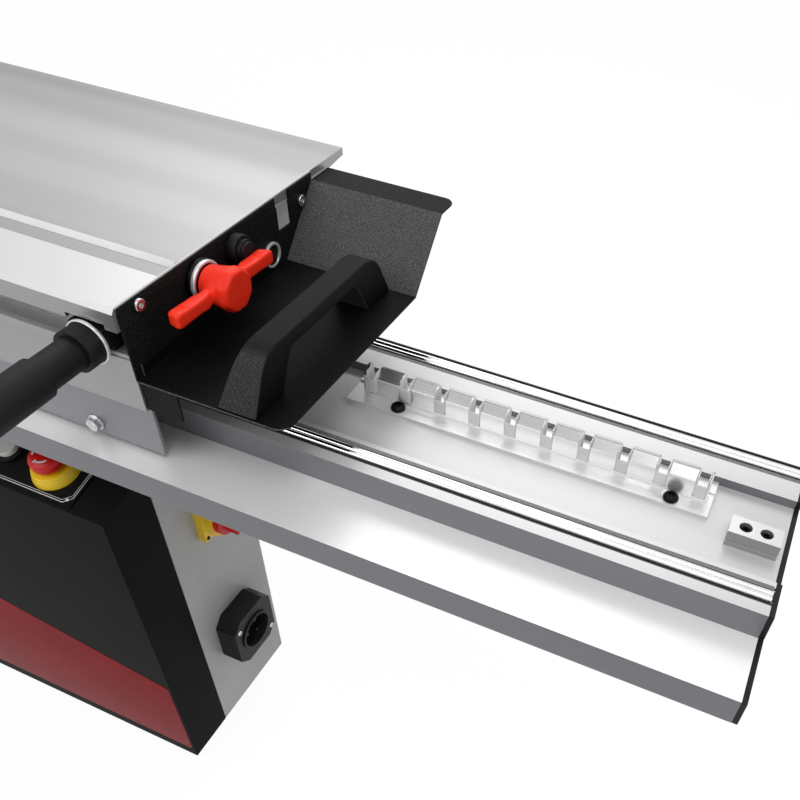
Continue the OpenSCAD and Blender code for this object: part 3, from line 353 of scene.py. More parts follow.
def strip_light_mask(mat, y):
    """1 on the operator's side of a line along X, 0 beyond it; it lays a strip of painted light."""
    return mask(mat, "ShaderNodeTexCoord", "Object", "Y", y + 0.0004, y - 0.0004)


def drawn_metal(name, low, high, roughness, metallic, fine, side, contrast=0.35, strip=None):
    """Aluminium with grain along X and broad bands, its sides coloured apart from its top as painted light,
    and perhaps a brighter near strip of painted light.
    """
    mat = start_material(name, roughness, metallic=metallic)
    grain = noise(mat, (3, fine, fine), detail=3)
    bands = noise(mat, (0.3, 11, 11), detail=1.5)
    line = ramp(mat, grain, low, high, 0.2, 0.8)
    cloud = ramp(mat, bands, low, high, 0.3, 0.7)
    amount = calculate(mat, "MULTIPLY", bands, contrast)
    top = blend_colour(mat, amount, cloud, line)
    # Painted light: a brighter strip of colour on the operator's side of a line along X.
    if strip:
        top = blend_colour(mat, strip_light_mask(mat, strip[0]), top, strip[1])
    # Painted light: the sides take their own colour, darker as painted shade on most parts and paler as a
    # painted highlight on the comb's front.
    side_painted_light = blend_colour(mat, grain, side, tuple(c * 1.25 for c in side[:3]) + (1,))
    colour = blend_colour(mat, top_light_mask(mat), side_painted_light, top)
    wear(mat, colour, grain, roughness - 0.05, roughness + 0.07)
    bump(mat, grain, 0.05, 0.00006)
    return mat


def plain_metal(name, low, high, roughness, size, relief=0.05, metallic=1.0):
    """Metal with a faint cloud, such as ground iron or zinc plate."""
    mat = start_material(name, roughness, metallic=metallic)
    cloud = noise(mat, (size, size, size), detail=5)
    wear(mat, ramp(mat, cloud, low, high), cloud, roughness - 0.06, roughness + 0.06)
    bump(mat, cloud, relief, 0.0002)
    return mat


# GROOVE_Y and RISER_Y end the strips of painted light on the deck and on the rail's flange.
GROOVE_Y = NEAR_Y + 61 * MM
RISER_Y = NEAR_Y + 54 * MM
# Each side colour in these calls is painted light, mostly a darker painted shade.
deck_metal = drawn_metal(
    "DeckAluminium", grey(132), grey(178), 0.4, 0.75, 900, grey(150), strip=(GROOVE_Y, grey(204)),
)
rail_metal = drawn_metal(
    "RailAluminium", grey(192), grey(218), 0.38, 0.25, 700, grey(112, 5), strip=(RISER_Y, grey(250)),
)
apron_metal = drawn_metal("ApronAluminium", grey(166), grey(186), 0.42, 0.5, 700, grey(132, 5))
bright_metal = drawn_metal("BrightAluminium", grey(212), grey(236), 0.38, 0.5, 900, grey(206))
block_metal = drawn_metal("BlockAluminium", grey(190), grey(214), 0.3, 0.6, 900, grey(150))
# The comb's pale side colour is a painted highlight on its front, over a darkened top.
comb_metal = drawn_metal("CombAluminium", grey(128), grey(158), 0.24, 0.75, 900, grey(224))
dull_band = plain_metal("DullBand", grey(112), grey(126), 0.5, 200, 0.02, metallic=0.3)
chrome = plain_metal("Chrome", grey(222), grey(240), 0.1, 30, 0.01)
zinc = plain_metal("ZincPlate", grey(176), grey(214), 0.27, 180)
bright_zinc = plain_metal("BrightZinc", grey(212), grey(234), 0.36, 180, metallic=0.55)
ground_iron = plain_metal("GroundIron", grey(152), grey(168), 0.38, 140, 0.02, metallic=0.7)
steel = plain_metal("TurnedSteel", grey(160), grey(200), 0.29, 120)
blade_steel = plain_metal("BladeSteel", grey(176), grey(206), 0.25, 90)
black_steel = plain_metal("BlackSteel", grey(22), grey(42), 0.4, 200)
carbide = plain_metal("Carbide", grey(96), grey(120), 0.3, 300)
print("materials", len(bpy.data.materials))

# %% [markdown]
# ### Paint, plastic and rubber
# Powder paint has a soft orange peel, and the tray a coarse wrinkle that catches the light in grains.
# Moulded plastic has a much finer spark texture. Each has its own bump size and a small change of colour.

# %% Paint, plastic and rubber


def coated(name, low, high, roughness, grain, depth, strength=0.4, specular=0.5, top=None):
    """A non-metal with a fine relief, its grain in bumps per metre, and perhaps a paler top that is painted
    light.
    """
    mat = start_material(name, roughness, specular=specular)
    relief = noise(mat, (grain, grain, grain), detail=2, rough=0.6)
    cloud = noise(mat, (14, 14, 14), detail=3)
    colour = ramp(mat, cloud, low, high)
    # Painted light: a paler colour on faces that look up.
    if top:
        colour = blend_colour(mat, top_light_mask(mat), colour, top)
    wear(mat, colour, relief, roughness - 0.06, roughness + 0.06)
    bump(mat, relief, strength, depth)
    return mat


def wrinkled(name, low, high, roughness, grain, slope=None, top=None):
    """Black wrinkle paint with paler crests, and paler colours of painted light on tops and on walls that
    face the operator.
    """
    mat = start_material(name, roughness, specular=0.08)
    relief = noise(mat, (grain, grain, grain), detail=3, rough=0.65)
    colour = ramp(mat, relief, low, high, 0.42, 0.62)
    # Painted light: paler tops, and paler walls that face the operator.
    if top:
        level = ramp(mat, relief, top[0], top[1], 0.42, 0.62)
        colour = blend_colour(mat, top_light_mask(mat), colour, level)
    if slope:
        wall = ramp(mat, relief, slope[0], slope[1], 0.42, 0.62)
        colour = blend_colour(mat, wall_light_mask(mat), colour, wall)
    wear(mat, colour, relief, roughness + 0.12, roughness - 0.08)
    bump(mat, relief, 0.8, 0.0005)
    return mat


grey_paint = coated("GreyPaint", grey(166), grey(174), 0.42, 500, 0.0002, 0.12)
# The black paint's paler top is painted light.
black_paint = coated("BlackPaint", grey(9), grey(14), 0.5, 600, 0.0002, 0.12, specular=0.03, top=grey(26))
wrinkle_black = wrinkled("WrinkleBlack", grey(6), grey(34), 0.5, 800)
# The tray's paler walls and the grip's paler tops and walls are painted light.
tray_black = wrinkled("TrayBlack", grey(3), grey(14), 0.5, 800, slope=(grey(66), grey(104)))
grip_black = wrinkled(
    "GripBlack", grey(3), grey(13), 0.52, 1100, slope=(grey(38), grey(74)), top=(grey(10), grey(36)),
)
dark_cast = coated("CastPaint", linear(58, 61, 65), linear(74, 77, 81), 0.5, 180, 0.0006, 0.5)
black_plastic = coated("BlackPlastic", grey(16), grey(24), 0.5, 1500, 0.0002, 0.5, specular=0.2)
rubber = coated("Rubber", grey(8), grey(14), 0.56, 1100, 0.0002, 0.5, specular=0.2)
knob_red = coated(
    "KnobRed", linear(246, 44, 20), linear(254, 54, 28), 0.42, 1200, 0.0001, 0.25, specular=0.22,
)
stop_red = coated("StopRed", linear(196, 14, 16), linear(212, 22, 22), 0.34, 900, 0.0001, 0.1, specular=0.3)
stripe_red = coated(
    "StripeRed", linear(124, 16, 22), linear(138, 22, 28), 0.5, 600, 0.0002, 0.1, specular=0.12,
)
switch_yellow = coated("SwitchYellow", linear(238, 196, 20), linear(247, 208, 30), 0.36, 900, 0.0001, 0.15)
light_plastic = coated("LightPlastic", grey(205), grey(222), 0.42, 1200, 0.0001, 0.2)
frosted = coated("FrostedPlastic", grey(212), grey(228), 0.55, 1400, 0.0002, 0.3)
white_ink = coated("WhiteInk", grey(214), grey(230), 0.5, 900, 0.0001, 0.1)
cage_plastic = coated("CagePlastic", grey(40), grey(56), 0.45, 900, 0.0001, 0.3)
belt_rubber = coated("BeltRubber", grey(22), grey(34), 0.7, 700, 0.0002, 0.6)

# %% [markdown]
# ### A ruled tape
# The scale of the rip fence is a white tape with a tick each millimetre along Y. The ticks are sums of
# Object coordinates: the part of Y left over after whole centimetres is small on a tick. Longer ticks
# stand at whole centimetres, so a shorter one is cut off by height.

# %% Scale tape
scale_tape = start_material("ScaleTape", 0.4)
tape_coord = scale_tape.node_tree.nodes.new("ShaderNodeTexCoord")
tape_axes = scale_tape.node_tree.nodes.new("ShaderNodeSeparateXYZ")
join(scale_tape, tape_coord.outputs["Object"], tape_axes.inputs[0])


def ticks(step, width, height):
    """1 on the ticks of one step that reach up to height."""
    left = calculate(scale_tape, "PINGPONG", tape_axes.outputs["Y"], step / 2)
    on_tick = calculate(scale_tape, "LESS_THAN", left, width / 2)
    below = calculate(scale_tape, "LESS_THAN", tape_axes.outputs["Z"], height)
    return calculate(scale_tape, "MULTIPLY", on_tick, below)


tape_base = TOP_Z - 0.036
small_ticks = ticks(0.005, 0.0007, tape_base + 0.006)
long_ticks = ticks(0.05, 0.0012, tape_base + 0.014)
any_tick = calculate(scale_tape, "MAXIMUM", small_ticks, long_ticks)
join(
    scale_tape, blend_colour(scale_tape, any_tick, grey(226), grey(28)),
    bsdf_of(scale_tape).inputs["Base Color"],
)
print("materials", len(bpy.data.materials))

# %% [markdown]
# ### Which node wears which finish
# The CAD nodes keep their shape. Each gets its finish, and modifiers round the sharp edges: Weld joins
# the loose triangles, a planar Decimate makes them flat faces again and Bevel rounds what is left.

# %% Dress the CAD nodes
finish_of = {
    deck_metal: ["carriage_deck"],
    rail_metal: ["carriage_runners", "base_rail", "table_insert", "rip_fence"],
    bright_metal: ["comb_bracket"],
    block_metal: ["stop_blocks"],
    apron_metal: ["apron_plate"],
    comb_metal: ["comb_bar"],
    chrome: ["guide_rods", "cage_rollers"],
    zinc: ["apron_bolts", "latch_shaft", "travel_stop", "end_screws"],
    ground_iron: ["main_table", "motor_pulley"],
    steel: ["fence_bar", "latch_pawl", "saw_arbor", "blade_nut"],
    blade_steel: ["main_blade", "riving_knife"],
    black_steel: ["comb_screws", "levelling_feet", "latch_bearing"],
    grey_paint: ["base_frame", "cabinet_pan", "cabinet_walls", "extension_table", "rail_brackets"],
    black_paint: ["front_cover", "control_panel", "cabinet_door"],
    wrinkle_black: ["end_plate"],
    tray_black: ["tray"],
    dark_cast: ["fence_carrier", "trunnions", "tilt_frame", "lift_carriage", "saw_motor"],
    black_plastic: [
        "start_bezel", "power_inlet", "door_latch", "rail_end_caps", "tilt_handwheel", "lift_handwheel",
    ],
    grip_black: ["bow_handle"],
    cage_plastic: ["roller_cages"],
    rubber: ["bumper", "push_tube", "tube_collar"],
    belt_rubber: ["drive_belt"],
    knob_red: ["lock_knob"],
    stop_red: ["estop_button", "isolator_knob", "fence_lever"],
    switch_yellow: ["estop_collar", "isolator_plate"],
    light_plastic: ["start_button"],
}
edge_of = {
    "carriage_deck": 1.2, "base_rail": 0.8, "bow_handle": 3.5, "end_plate": 0.3, "tray": 0.6,
    "cabinet_door": 0.8, "main_blade": 0.15, "roller_cages": 0.2, "comb_bar": 0.8, "lock_knob": 2.5,
    "riving_knife": 0.3, "apron_plate": 0.8, "drive_belt": 0.6, "comb_screws": 0.4, "end_screws": 0.8,
    "apron_bolts": 0.7, "main_table": 1.0, "front_cover": 1.5, "base_frame": 1.5, "saw_motor": 3.0,
    "fence_carrier": 2.5, "trunnions": 1.5, "tilt_frame": 1.5, "lift_carriage": 1.5,
}


def round_edges(obj, width, segments=3):
    """Weld, planar Decimate and Bevel on a CAD node, with its mesh left alone."""
    weld = obj.modifiers.new("Join", "WELD")
    weld.merge_threshold = 0.00001
    flat = obj.modifiers.new("Flat", "DECIMATE")
    flat.decimate_type = "DISSOLVE"
    flat.angle_limit = math.radians(0.5)
    bevel = obj.modifiers.new("Edge", "BEVEL")
    bevel.width = width * MM
    bevel.segments = segments
    bevel.limit_method = "ANGLE"
    bevel.angle_limit = math.radians(35)
    bevel.harden_normals = False


for finish, names in finish_of.items():
    for name in names:
        node = nodes[name]
        node.data.materials.clear()
        node.data.materials.append(finish)
        round_edges(node, edge_of.get(name, 0.6))
dressed = {name for names in finish_of.values() for name in names}
print("undressed", sorted(set(nodes) - dressed))

# %% [markdown]
# ## Tools for small pieces
# Small pieces are modelled the way a hand would: a primitive at its size and place, then extrude, inset,
# bevel and scale in edit mode. Faces and edges are found by where they are. The helpers below keep that
# short. A finished piece has its place in its mesh, wears its finish and rides on a body.

# %% Helpers for modelling


def leave_edit():
    bpy.ops.object.mode_set(mode="OBJECT")


def alone(obj=None):
    """Leave edit mode, deselect everything, then select only obj."""
    if bpy.context.object and bpy.context.object.mode != "OBJECT":
        leave_edit()
    bpy.ops.object.select_all(action="DESELECT")
    if obj:
        obj.select_set(True)
        bpy.context.view_layer.objects.active = obj


def settle(obj):
    """Put the object's place, turn and scale into its mesh."""
    alone(obj)
    bpy.ops.object.transform_apply(location=True, rotation=True, scale=True)


def aim(obj, axis, place):
    """Point a piece that was modelled upright along axis and put it in its place."""
    obj.rotation_euler = Vector(axis).to_track_quat("Z", "Y").to_euler()
    obj.location = place
    settle(obj)


def named(name):
    """The object that an operator just made, with its name put on it and its mesh."""
    obj = bpy.context.active_object
    obj.name = obj.data.name = name
    return obj


def new_block(name, low, high):
    """A cube primitive that fills the box between two corners."""
    alone()
    low, high = Vector(low), Vector(high)
    bpy.ops.mesh.primitive_cube_add(size=1, location=(low + high) / 2)
    obj = named(name)
    obj.scale = high - low
    settle(obj)
    return obj


def edit(obj):
    alone(obj)
    bpy.ops.object.mode_set(mode="EDIT")


def pick(obj, kind, test):
    """In edit mode, select only the corners, edges or faces that pass the test."""
    bpy.ops.mesh.select_mode(type=kind)
    bpy.ops.mesh.select_all(action="DESELECT")
    mesh = bmesh.from_edit_mesh(obj.data)
    for part in {"VERT": mesh.verts, "EDGE": mesh.edges, "FACE": mesh.faces}[kind]:
        part.select_set(test(part))
    bmesh.update_edit_mesh(obj.data)


def select_faces(obj, test):
    """Select only the faces whose centre and normal pass the test."""
    pick(obj, "FACE", lambda face: test(face.calc_center_median(), face.normal))


def select_edges(obj, test):
    """Select only the edges whose two ends pass the test."""
    pick(obj, "EDGE", lambda edge: test(edge.verts[0].co, edge.verts[1].co))


def leave_outward():
    """Turn all faces outwards and leave edit mode."""
    bpy.ops.mesh.select_all(action="SELECT")
    bpy.ops.mesh.normals_make_consistent(inside=False)
    leave_edit()


def turn_copies(count, angle):
    """In edit mode, duplicate what is selected and turn it about Y, for count in all."""
    for _ in range(1, count):
        bpy.ops.mesh.duplicate()
        bpy.ops.transform.rotate(value=angle, orient_axis="Y", center_override=(0, 0, 0))


def extrude(x=0.0, y=0.0, z=0.0):
    """Extrude what is selected by a distance in mm."""
    bpy.ops.mesh.extrude_region_move(TRANSFORM_OT_translate={"value": (x * MM, y * MM, z * MM)})


def new_turning(name, place, axis, steps, sides=64):
    """A turned piece: one extrusion and one scaling for each (radius, distance) step, in mm."""
    alone()
    first = steps[0]
    bpy.ops.mesh.primitive_circle_add(vertices=sides, radius=first[0] * MM, fill_type="NGON")
    obj = named(name)
    edit(obj)
    bpy.ops.mesh.select_all(action="SELECT")
    for before, after in zip(steps, steps[1:]):
        extrude(z=after[1] - before[1])
        grow = after[0] / before[0]
        if grow != 1:
            bpy.ops.transform.resize(value=(grow, grow, 1))
    leave_outward()
    aim(obj, axis, Vector(place) + Vector(axis).normalized() * first[1] * MM)
    return obj


def new_ring(name, place, axis, inner, outer, start, end, sides=64):
    """A plain ring between two radii and two distances along axis, in mm."""
    steps = [(inner, start), (outer, start), (outer, end), (inner, end)]
    obj = new_turning(name, (0, 0, 0), (0, 0, 1), steps, sides)
    edit(obj)
    select_faces(obj, lambda c, n: abs(n.z) > 0.9 and Vector((c.x, c.y)).length < 0.1 * inner * MM)
    bpy.ops.mesh.bridge_edge_loops()
    leave_outward()
    aim(obj, axis, place)
    return obj


def apply_modifier(obj, kind, **values):
    """Add a modifier, set its values and apply it."""
    alone(obj)
    modifier = obj.modifiers.new(kind.title(), kind)
    for key, value in values.items():
        setattr(modifier, key, value)
    bpy.ops.object.modifier_apply(modifier=modifier.name)


def finish_piece(obj, finish, body, edge=0.3, segments=2, limit=30, smooth=35):
    """Round the edges, give the piece its finish and let it ride on a body."""
    if edge:
        apply_modifier(
            obj, "BEVEL", width=edge * MM, segments=segments, limit_method="ANGLE",
            angle_limit=math.radians(limit),
        )
    obj.data.materials.clear()
    obj.data.materials.append(finish)
    alone(obj)
    bpy.ops.object.shade_smooth_by_angle(angle=math.radians(smooth))
    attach(obj, body)
    return obj


def copy_piece(obj, name, shift, body):
    """A copy with its own mesh, moved by shift in mm."""
    alone(obj)
    bpy.ops.object.duplicate()
    other = named(name)
    other.location = Vector(shift) * MM
    settle(other)
    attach(other, body)
    return other


def join_pieces(name, pieces):
    """Several pieces made one."""
    alone(pieces[0])
    for piece in pieces[1:]:
        piece.select_set(True)
    bpy.ops.object.join()
    return named(name)


# %% [markdown]
# ## The lock knob
# A moulded knob with two wings: a round neck, a squarish boss and waisted wings that swell at the tips.
# An eight-sided turning gives neck and boss, and its two side faces are extruded into the wings. Creased
# long edges keep the wings crisp, and a subdivision surface gives the long concave blends of a moulding.

# %% Lock knob
LEAN = math.radians(2)
knob_axis = middle("lock_knob")
knob_axis.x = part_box("lock_knob")[0][0]
knob = new_turning(
    "WingKnob", (0, 0, 0), (0, 0, 1),
    [(15, 0), (18.8, 0.3), (19.2, 8), (22.8, 23.5), (22.4, 29.5), (19.8, 34.8), (15, 35)], 8,
)
knob.rotation_euler = (0, 0, math.radians(22.5))
settle(knob)
aim(knob, (1, 0, 0), (0, 0, 0))
edit(knob)
for side in (-1, 1):
    select_faces(knob, lambda c, n: n.y * side > 0.9 and 0.012 < c.x < 0.02)
    for step, wide, high in (
        (3.5, 0.98, 0.94), (9, 0.97, 0.84), (13, 1, 0.94), (14, 1, 1.1), (8, 1, 1.04), (4.5, 0.96, 0.76)
    ):
        extrude(y=side * step)
        bpy.ops.transform.resize(value=(wide, 1, high))
select_edges(knob, lambda a, b: min(abs(a.y), abs(b.y)) > 0.024 and abs(a.y - b.y) > 0.003)
bpy.ops.transform.edge_crease(value=0.42)
select_edges(knob, lambda a, b: min(a.x, b.x) > 0.023 and abs(a.y) < 0.022 and abs(a.x - b.x) > 0.003)
bpy.ops.transform.edge_crease(value=0.42)
select_edges(knob, lambda a, b: min(a.x, b.x) > 0.0345 and min(a.yz.length, b.yz.length) > 0.017)
bpy.ops.transform.edge_crease(value=0.35)
leave_edit()
apply_modifier(knob, "SUBSURF", levels=3, render_levels=3)
knob.location = knob_axis
knob.rotation_euler = (-LEAN, 0, 0)
settle(knob)
finish_piece(knob, knob_red, "knob", edge=0, smooth=60)
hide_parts("lock_knob")
print("knob", [round(v / MM, 1) for v in knob.dimensions])

# %% [markdown]
# Three small ribs cross each wing near its tip, for the fingers. One rib is a rounded bar, copied.

# %% Ribs of the knob
tip = [v.co.z - knob_axis.z for v in knob.data.vertices if abs(v.co.y - knob_axis.y - 0.056) < 0.003]
rib_top = max(tip) + 2.5 * MM
RIB_STEP = 3.4
OTHER_WING = -108.2
rib = new_block(
    "KnobRib_1", (11 * MM, 53.5 * MM, rib_top - 2.4 * MM), (21 * MM, 54.7 * MM, rib_top)
)
rib.location = knob_axis
rib.rotation_euler = (-LEAN, 0, 0)
settle(rib)
finish_piece(rib, knob_red, "knob", edge=0.5, segments=3)
shifts = [RIB_STEP, 2 * RIB_STEP] + [OTHER_WING - RIB_STEP * i for i in (2, 1, 0)]
for i, y in enumerate(shifts):
    copy_piece(rib, "KnobRib_%d" % (i + 2), (0, y, -y * math.tan(LEAN)), "knob")
print("ribs", len(shifts) + 1)

# %% [markdown]
# ## The bow handle
# The handle is a cast bow with a thick, evenly rounded band. The CAD node has the right form, so a copy
# of it is merged into one skin, its flat faces are dissolved and its long edges get a wide bevel.

# %% Bow handle
bow = bpy.data.objects.new("BowGrip", nodes["bow_handle"].data.copy())
bow.data.name = "BowGrip"
bpy.context.scene.collection.objects.link(bow)
edit(bow)
bpy.ops.mesh.select_all(action="SELECT")
bpy.ops.mesh.remove_doubles(threshold=0.00001)
bpy.ops.mesh.dissolve_limited(angle_limit=math.radians(3))
leave_edit()
finish_piece(bow, grip_black, "carriage", edge=4.2, segments=5, smooth=40)
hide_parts("bow_handle")
print("bow", len(bow.data.polygons), "faces")

# %% [markdown]
# ## Bush and washer of the shaft, and the holes of the end plate
# Behind the knob a bright washer lies on the black bearing. The end plate also has a rubber grommet and
# the bright end of a tube. Each is a turned ring that is seated on the face that carries it.

# %% Rings on the end plate
OUTWARD = (1, 0, 0)
shaft = middle("latch_bearing")
shaft.x = END_X
washer = new_ring("ShaftWasher", shaft, OUTWARD, 16.7, 20, 7, 11.7)
finish_piece(washer, bright_zinc, "carriage", edge=1.1)
tube_end = at(0, 219, -55)
tube_ring = new_ring("TubeRing", tube_end, OUTWARD, 10.5, 13.5, 2, 5)
finish_piece(tube_ring, bright_zinc, "carriage", edge=0.6)
tube_plug = new_turning("TubePlug", tube_end, OUTWARD, [(10.4, 2), (10.4, 3), (9, 3.4), (8, 2.6)])
finish_piece(tube_plug, black_plastic, "carriage")
grommet = new_ring("Grommet", at(0, 131, -47), OUTWARD, 3.2, 6.2, 2, 4, 32)
finish_piece(grommet, rubber, "carriage", edge=0.7, segments=3)
bumper = middle("bumper")
bumper_r = (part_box("bumper")[1][1] - bumper.y) / MM
bumper.x = END_X
skirt = new_ring("BumperSkirt", bumper, OUTWARD, bumper_r - 0.5, bumper_r + 3.6, 2, 13)
finish_piece(skirt, rubber, "carriage", edge=1.2, segments=3)
print("rings", washer.name, tube_ring.name, grommet.name, skirt.name, round(bumper_r, 1))

# %% [markdown]
# The end plate has a cut-out near its far top, and the bare end of the extrusion shows in it. A thin web
# with an inset panel stands close behind the plate there.

# %% Web behind the cut-out
web = new_block("EndWeb", at(-2.4, 233, -44), at(-0.1, 264, -9))
edit(web)
select_faces(web, lambda c, n: n.x > 0.9)
bpy.ops.mesh.inset(thickness=4 * MM)
extrude(x=-0.6)
leave_edit()
finish_piece(web, bright_metal, "carriage", edge=0.2)
print("web", [round(v / MM, 1) for v in web.dimensions])

# %% [markdown]
# A thin black strip covers the sawn end of the extrusion above the plate, on both sides of the cut-out,
# and a fine white line lies along the bare sawn edge of the deck: its own brightness and a painted
# highlight.

# %% Strips over the sawn end
for i, (near, far) in enumerate(((5, 237), (261, 306))):
    cover_strip = new_block("PlateTop_%d" % (i + 1), at(0.2, near, -15.5), at(1.8, far, -1.6))
    finish_piece(cover_strip, wrinkle_black, "carriage", edge=0.3)
# Painted highlight: a strip of flat white along the deck's sawn edge.
end_highlight = new_block("EndHighlight", at(-1.6, 4, -1.7), at(0.3, 307, 0.12))
finish_piece(end_highlight, white_ink, "carriage", edge=0.25)
print("end line", round(end_highlight.dimensions.y / MM), "mm long")

# %% [markdown]
# A painted highlight lies on the slanted far side of the clamping groove. A thin white strip is made flat,
# turned to the slope and laid on it.

# %% Painted highlight on the side of the groove
GROOVE_DEPTH = 2.5
SLOPE_WIDTH = 9
END_GAP = 3
deck_len = (END_X - deck_low[0]) / MM
# Painted highlight: a thin white strip on the groove's slope.
groove_highlight = new_block(
    "GrooveHighlight", (0, -4.3 * MM, 0), ((deck_len - 2 * END_GAP) * MM, 4.3 * MM, 0.22 * MM)
)
groove_highlight.location = at(END_GAP - deck_len, 84.5, -1.22)
groove_highlight.rotation_euler = (math.atan2(GROOVE_DEPTH, SLOPE_WIDTH), 0, 0)
settle(groove_highlight)
finish_piece(groove_highlight, white_ink, "carriage", edge=0.05)
print("groove side", round(groove_highlight.dimensions.x / MM), "mm long")

# %% [markdown]
# ## Frosted liners of the comb
# Each notch of the comb holds a U of frosted plastic that quietens the pawl. The U is one open strip:
# the near side is a plane, and its lower edge is extruded round the bottom and up the far side. Solidify
# then gives the strip its wall.

# %% Comb liners
comb_low, comb_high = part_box("comb_bar")
NOTCHES = 10
NOTCH_STEP = 39
NOTCH_WIDTH = 12
WALL_FOOT = 2.6 * MM
wall_top = comb_high[2] - 0.7 * MM
notch_low = comb_low[2] + 3 * MM
liner_x = comb_low[0] + 4 * MM
alone()
bpy.ops.mesh.primitive_plane_add(size=1, location=(0, 0, 0), rotation=(0, math.pi / 2, 0))
liner = named("CombLiner_01")
liner.scale = (wall_top - notch_low - WALL_FOOT, comb_high[1] - comb_low[1] + 0.6 * MM, 1)
liner.location = (
    liner_x + 0.05 * MM, (comb_low[1] + comb_high[1]) / 2, (wall_top + notch_low + WALL_FOOT) / 2
)
settle(liner)
edit(liner)
wall_low = notch_low + WALL_FOOT + 0.01 * MM
select_edges(liner, lambda a, b: a.z < wall_low and b.z < wall_low)
for x, z in ((0.35, -1.3), (0.9, -0.9), (1.25, -0.35), (6.9, 0), (1.25, 0.35), (0.9, 0.9), (0.35, 1.3)):
    extrude(x=x, z=z)
extrude(z=(wall_top - notch_low - WALL_FOOT) / MM)
leave_edit()
apply_modifier(liner, "SOLIDIFY", thickness=1.2 * MM, offset=1)
edit(liner)
leave_outward()
finish_piece(liner, frosted, "frame", edge=0.3)


def fill_notches(first, name):
    """Copies of a piece in all the other notches."""
    for i in range(1, NOTCHES):
        copy_piece(first, "%s_%02d" % (name, i + 1), (i * NOTCH_STEP, 0, 0), "frame")


fill_notches(liner, "CombLiner")
print("liner", round(liner.dimensions.x / MM, 2), "mm wide")

# %% [markdown]
# A frosted pad closes the near side of each notch up to where the pawl comes down.

# %% Comb pads
pad = new_block(
    "CombPad_01",
    (liner_x + 0.6 * MM, comb_low[1] - 0.4 * MM, notch_low - 0.6 * MM),
    (liner_x + (NOTCH_WIDTH - 0.6) * MM, comb_low[1] + 1.2 * MM, comb_high[2] - 10.5 * MM),
)
finish_piece(pad, frosted, "frame", edge=0.6, segments=3)
fill_notches(pad, "CombPad")
print("pads", NOTCHES)

# %% [markdown]
# ## The control panel
# The panel is a sloped black plate with a printed double line round its face, a screw in each
# corner, a start button and an emergency stop. A function gives a point on the slope, so that the
# printed lines lie on the plate.

# %% Places on the panel
panel_low, panel_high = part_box("control_panel")
PANEL_TILT = math.radians(15.6)
PANEL_THICK = 2
along = Vector((0, math.cos(PANEL_TILT), math.sin(PANEL_TILT)))
out = Vector((0, -math.sin(PANEL_TILT), math.cos(PANEL_TILT)))
corner = Vector((panel_high[0], panel_low[1] + PANEL_THICK * MM * math.sin(PANEL_TILT), panel_low[2]))


def on_panel(x, up, height=0.0):
    """A point x mm from the panel's right end, up mm from its low edge and height mm off its face."""
    return corner + Vector((-x * MM, 0, 0)) + along * up * MM + out * (PANEL_THICK + height) * MM


PANEL_WIDE = (panel_high[0] - panel_low[0]) / MM
PANEL_DEEP = 68
print("panel", round(PANEL_WIDE), "mm wide")

# %% [markdown]
# Each line is a plane with its corners bevelled, an inset, and the inner face deleted: what stays is the
# line. Solidify gives the ink a tenth of a millimetre, so that it is seen from the side too.

# %% Printed double line


def printed_frame(name, margin, width):
    """One closed line, margin mm in from the panel's edges."""
    alone()
    bpy.ops.mesh.primitive_plane_add(size=1)
    obj = named(name)
    obj.scale = ((PANEL_WIDE - 2 * margin) * MM, (PANEL_DEEP - 2 * margin) * MM, 1)
    settle(obj)
    edit(obj)
    bpy.ops.mesh.select_all(action="SELECT")
    bpy.ops.mesh.bevel(offset=9 * MM, affect="VERTICES")
    bpy.ops.mesh.select_mode(type="FACE")
    bpy.ops.mesh.select_all(action="SELECT")
    bpy.ops.mesh.inset(thickness=width * MM)
    bpy.ops.mesh.delete(type="FACE")
    leave_edit()
    apply_modifier(obj, "SOLIDIFY", thickness=0.1 * MM, offset=1)
    obj.rotation_euler = (PANEL_TILT, 0, 0)
    obj.location = on_panel(PANEL_WIDE / 2, PANEL_DEEP / 2, 0.02)
    settle(obj)
    return finish_piece(obj, white_ink, "frame", edge=0)


printed_frame("PanelLineOuter", 3.5, 0.9)
inner_line = printed_frame("PanelLineInner", 6.2, 0.5)
print("inner line", round(inner_line.dimensions.x / MM), "mm wide")

# %% Small screws of the panel


def socket_screw(name, place, axis, radius, height, body, finish):
    """A button head with a sunk socket."""
    steps = [(radius, 0), (radius, height * 0.4), (radius * 0.86, height * 0.8), (radius * 0.6, height)]
    obj = new_turning(name, (0, 0, 0), (0, 0, 1), steps, 36)
    edit(obj)
    top = height * MM * 0.99
    select_faces(obj, lambda c, n: c.z > top)
    bpy.ops.mesh.inset(thickness=radius * 0.12 * MM)
    extrude(z=-height * 0.5)
    leave_edit()
    aim(obj, axis, place)
    return finish_piece(obj, finish, body, edge=0.15)


EDGE_GAP = 9
number = 0
for x in (EDGE_GAP, PANEL_WIDE - EDGE_GAP):
    for up in (EDGE_GAP, PANEL_DEEP - EDGE_GAP):
        number += 1
        socket_screw("PanelScrew_%d" % number, on_panel(x, up), out, 2.6, 1.6, "frame", zinc)
print("panel screws", number)

# %% [markdown]
# The same head, in black, sits in each counterbore of the two stop blocks.

# %% Screws of the stop blocks
UPWARD = (0, 0, 1)
blocks_low, blocks_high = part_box("stop_blocks")
STOP_LEN = 48 * MM
BORE_DEEP = 7.9 * MM
stop_places = [blocks_low[0] + STOP_LEN * part for part in (0.3, 0.7)]
stop_places += [blocks_high[0] - STOP_LEN * part for part in (0.3, 0.7)]
for i, x in enumerate(stop_places):
    place = (x, middle("stop_blocks").y, blocks_high[2] - BORE_DEEP)
    socket_screw("StopScrew_%d" % (i + 1), place, UPWARD, 5.8, 5.6, "frame", black_steel)
print("stop screws", len(stop_places))

# %% [markdown]
# The comb's two screws are wider and flatter than the CAD ones. They are modelled the same way and
# joined into one piece that stands in for the node.

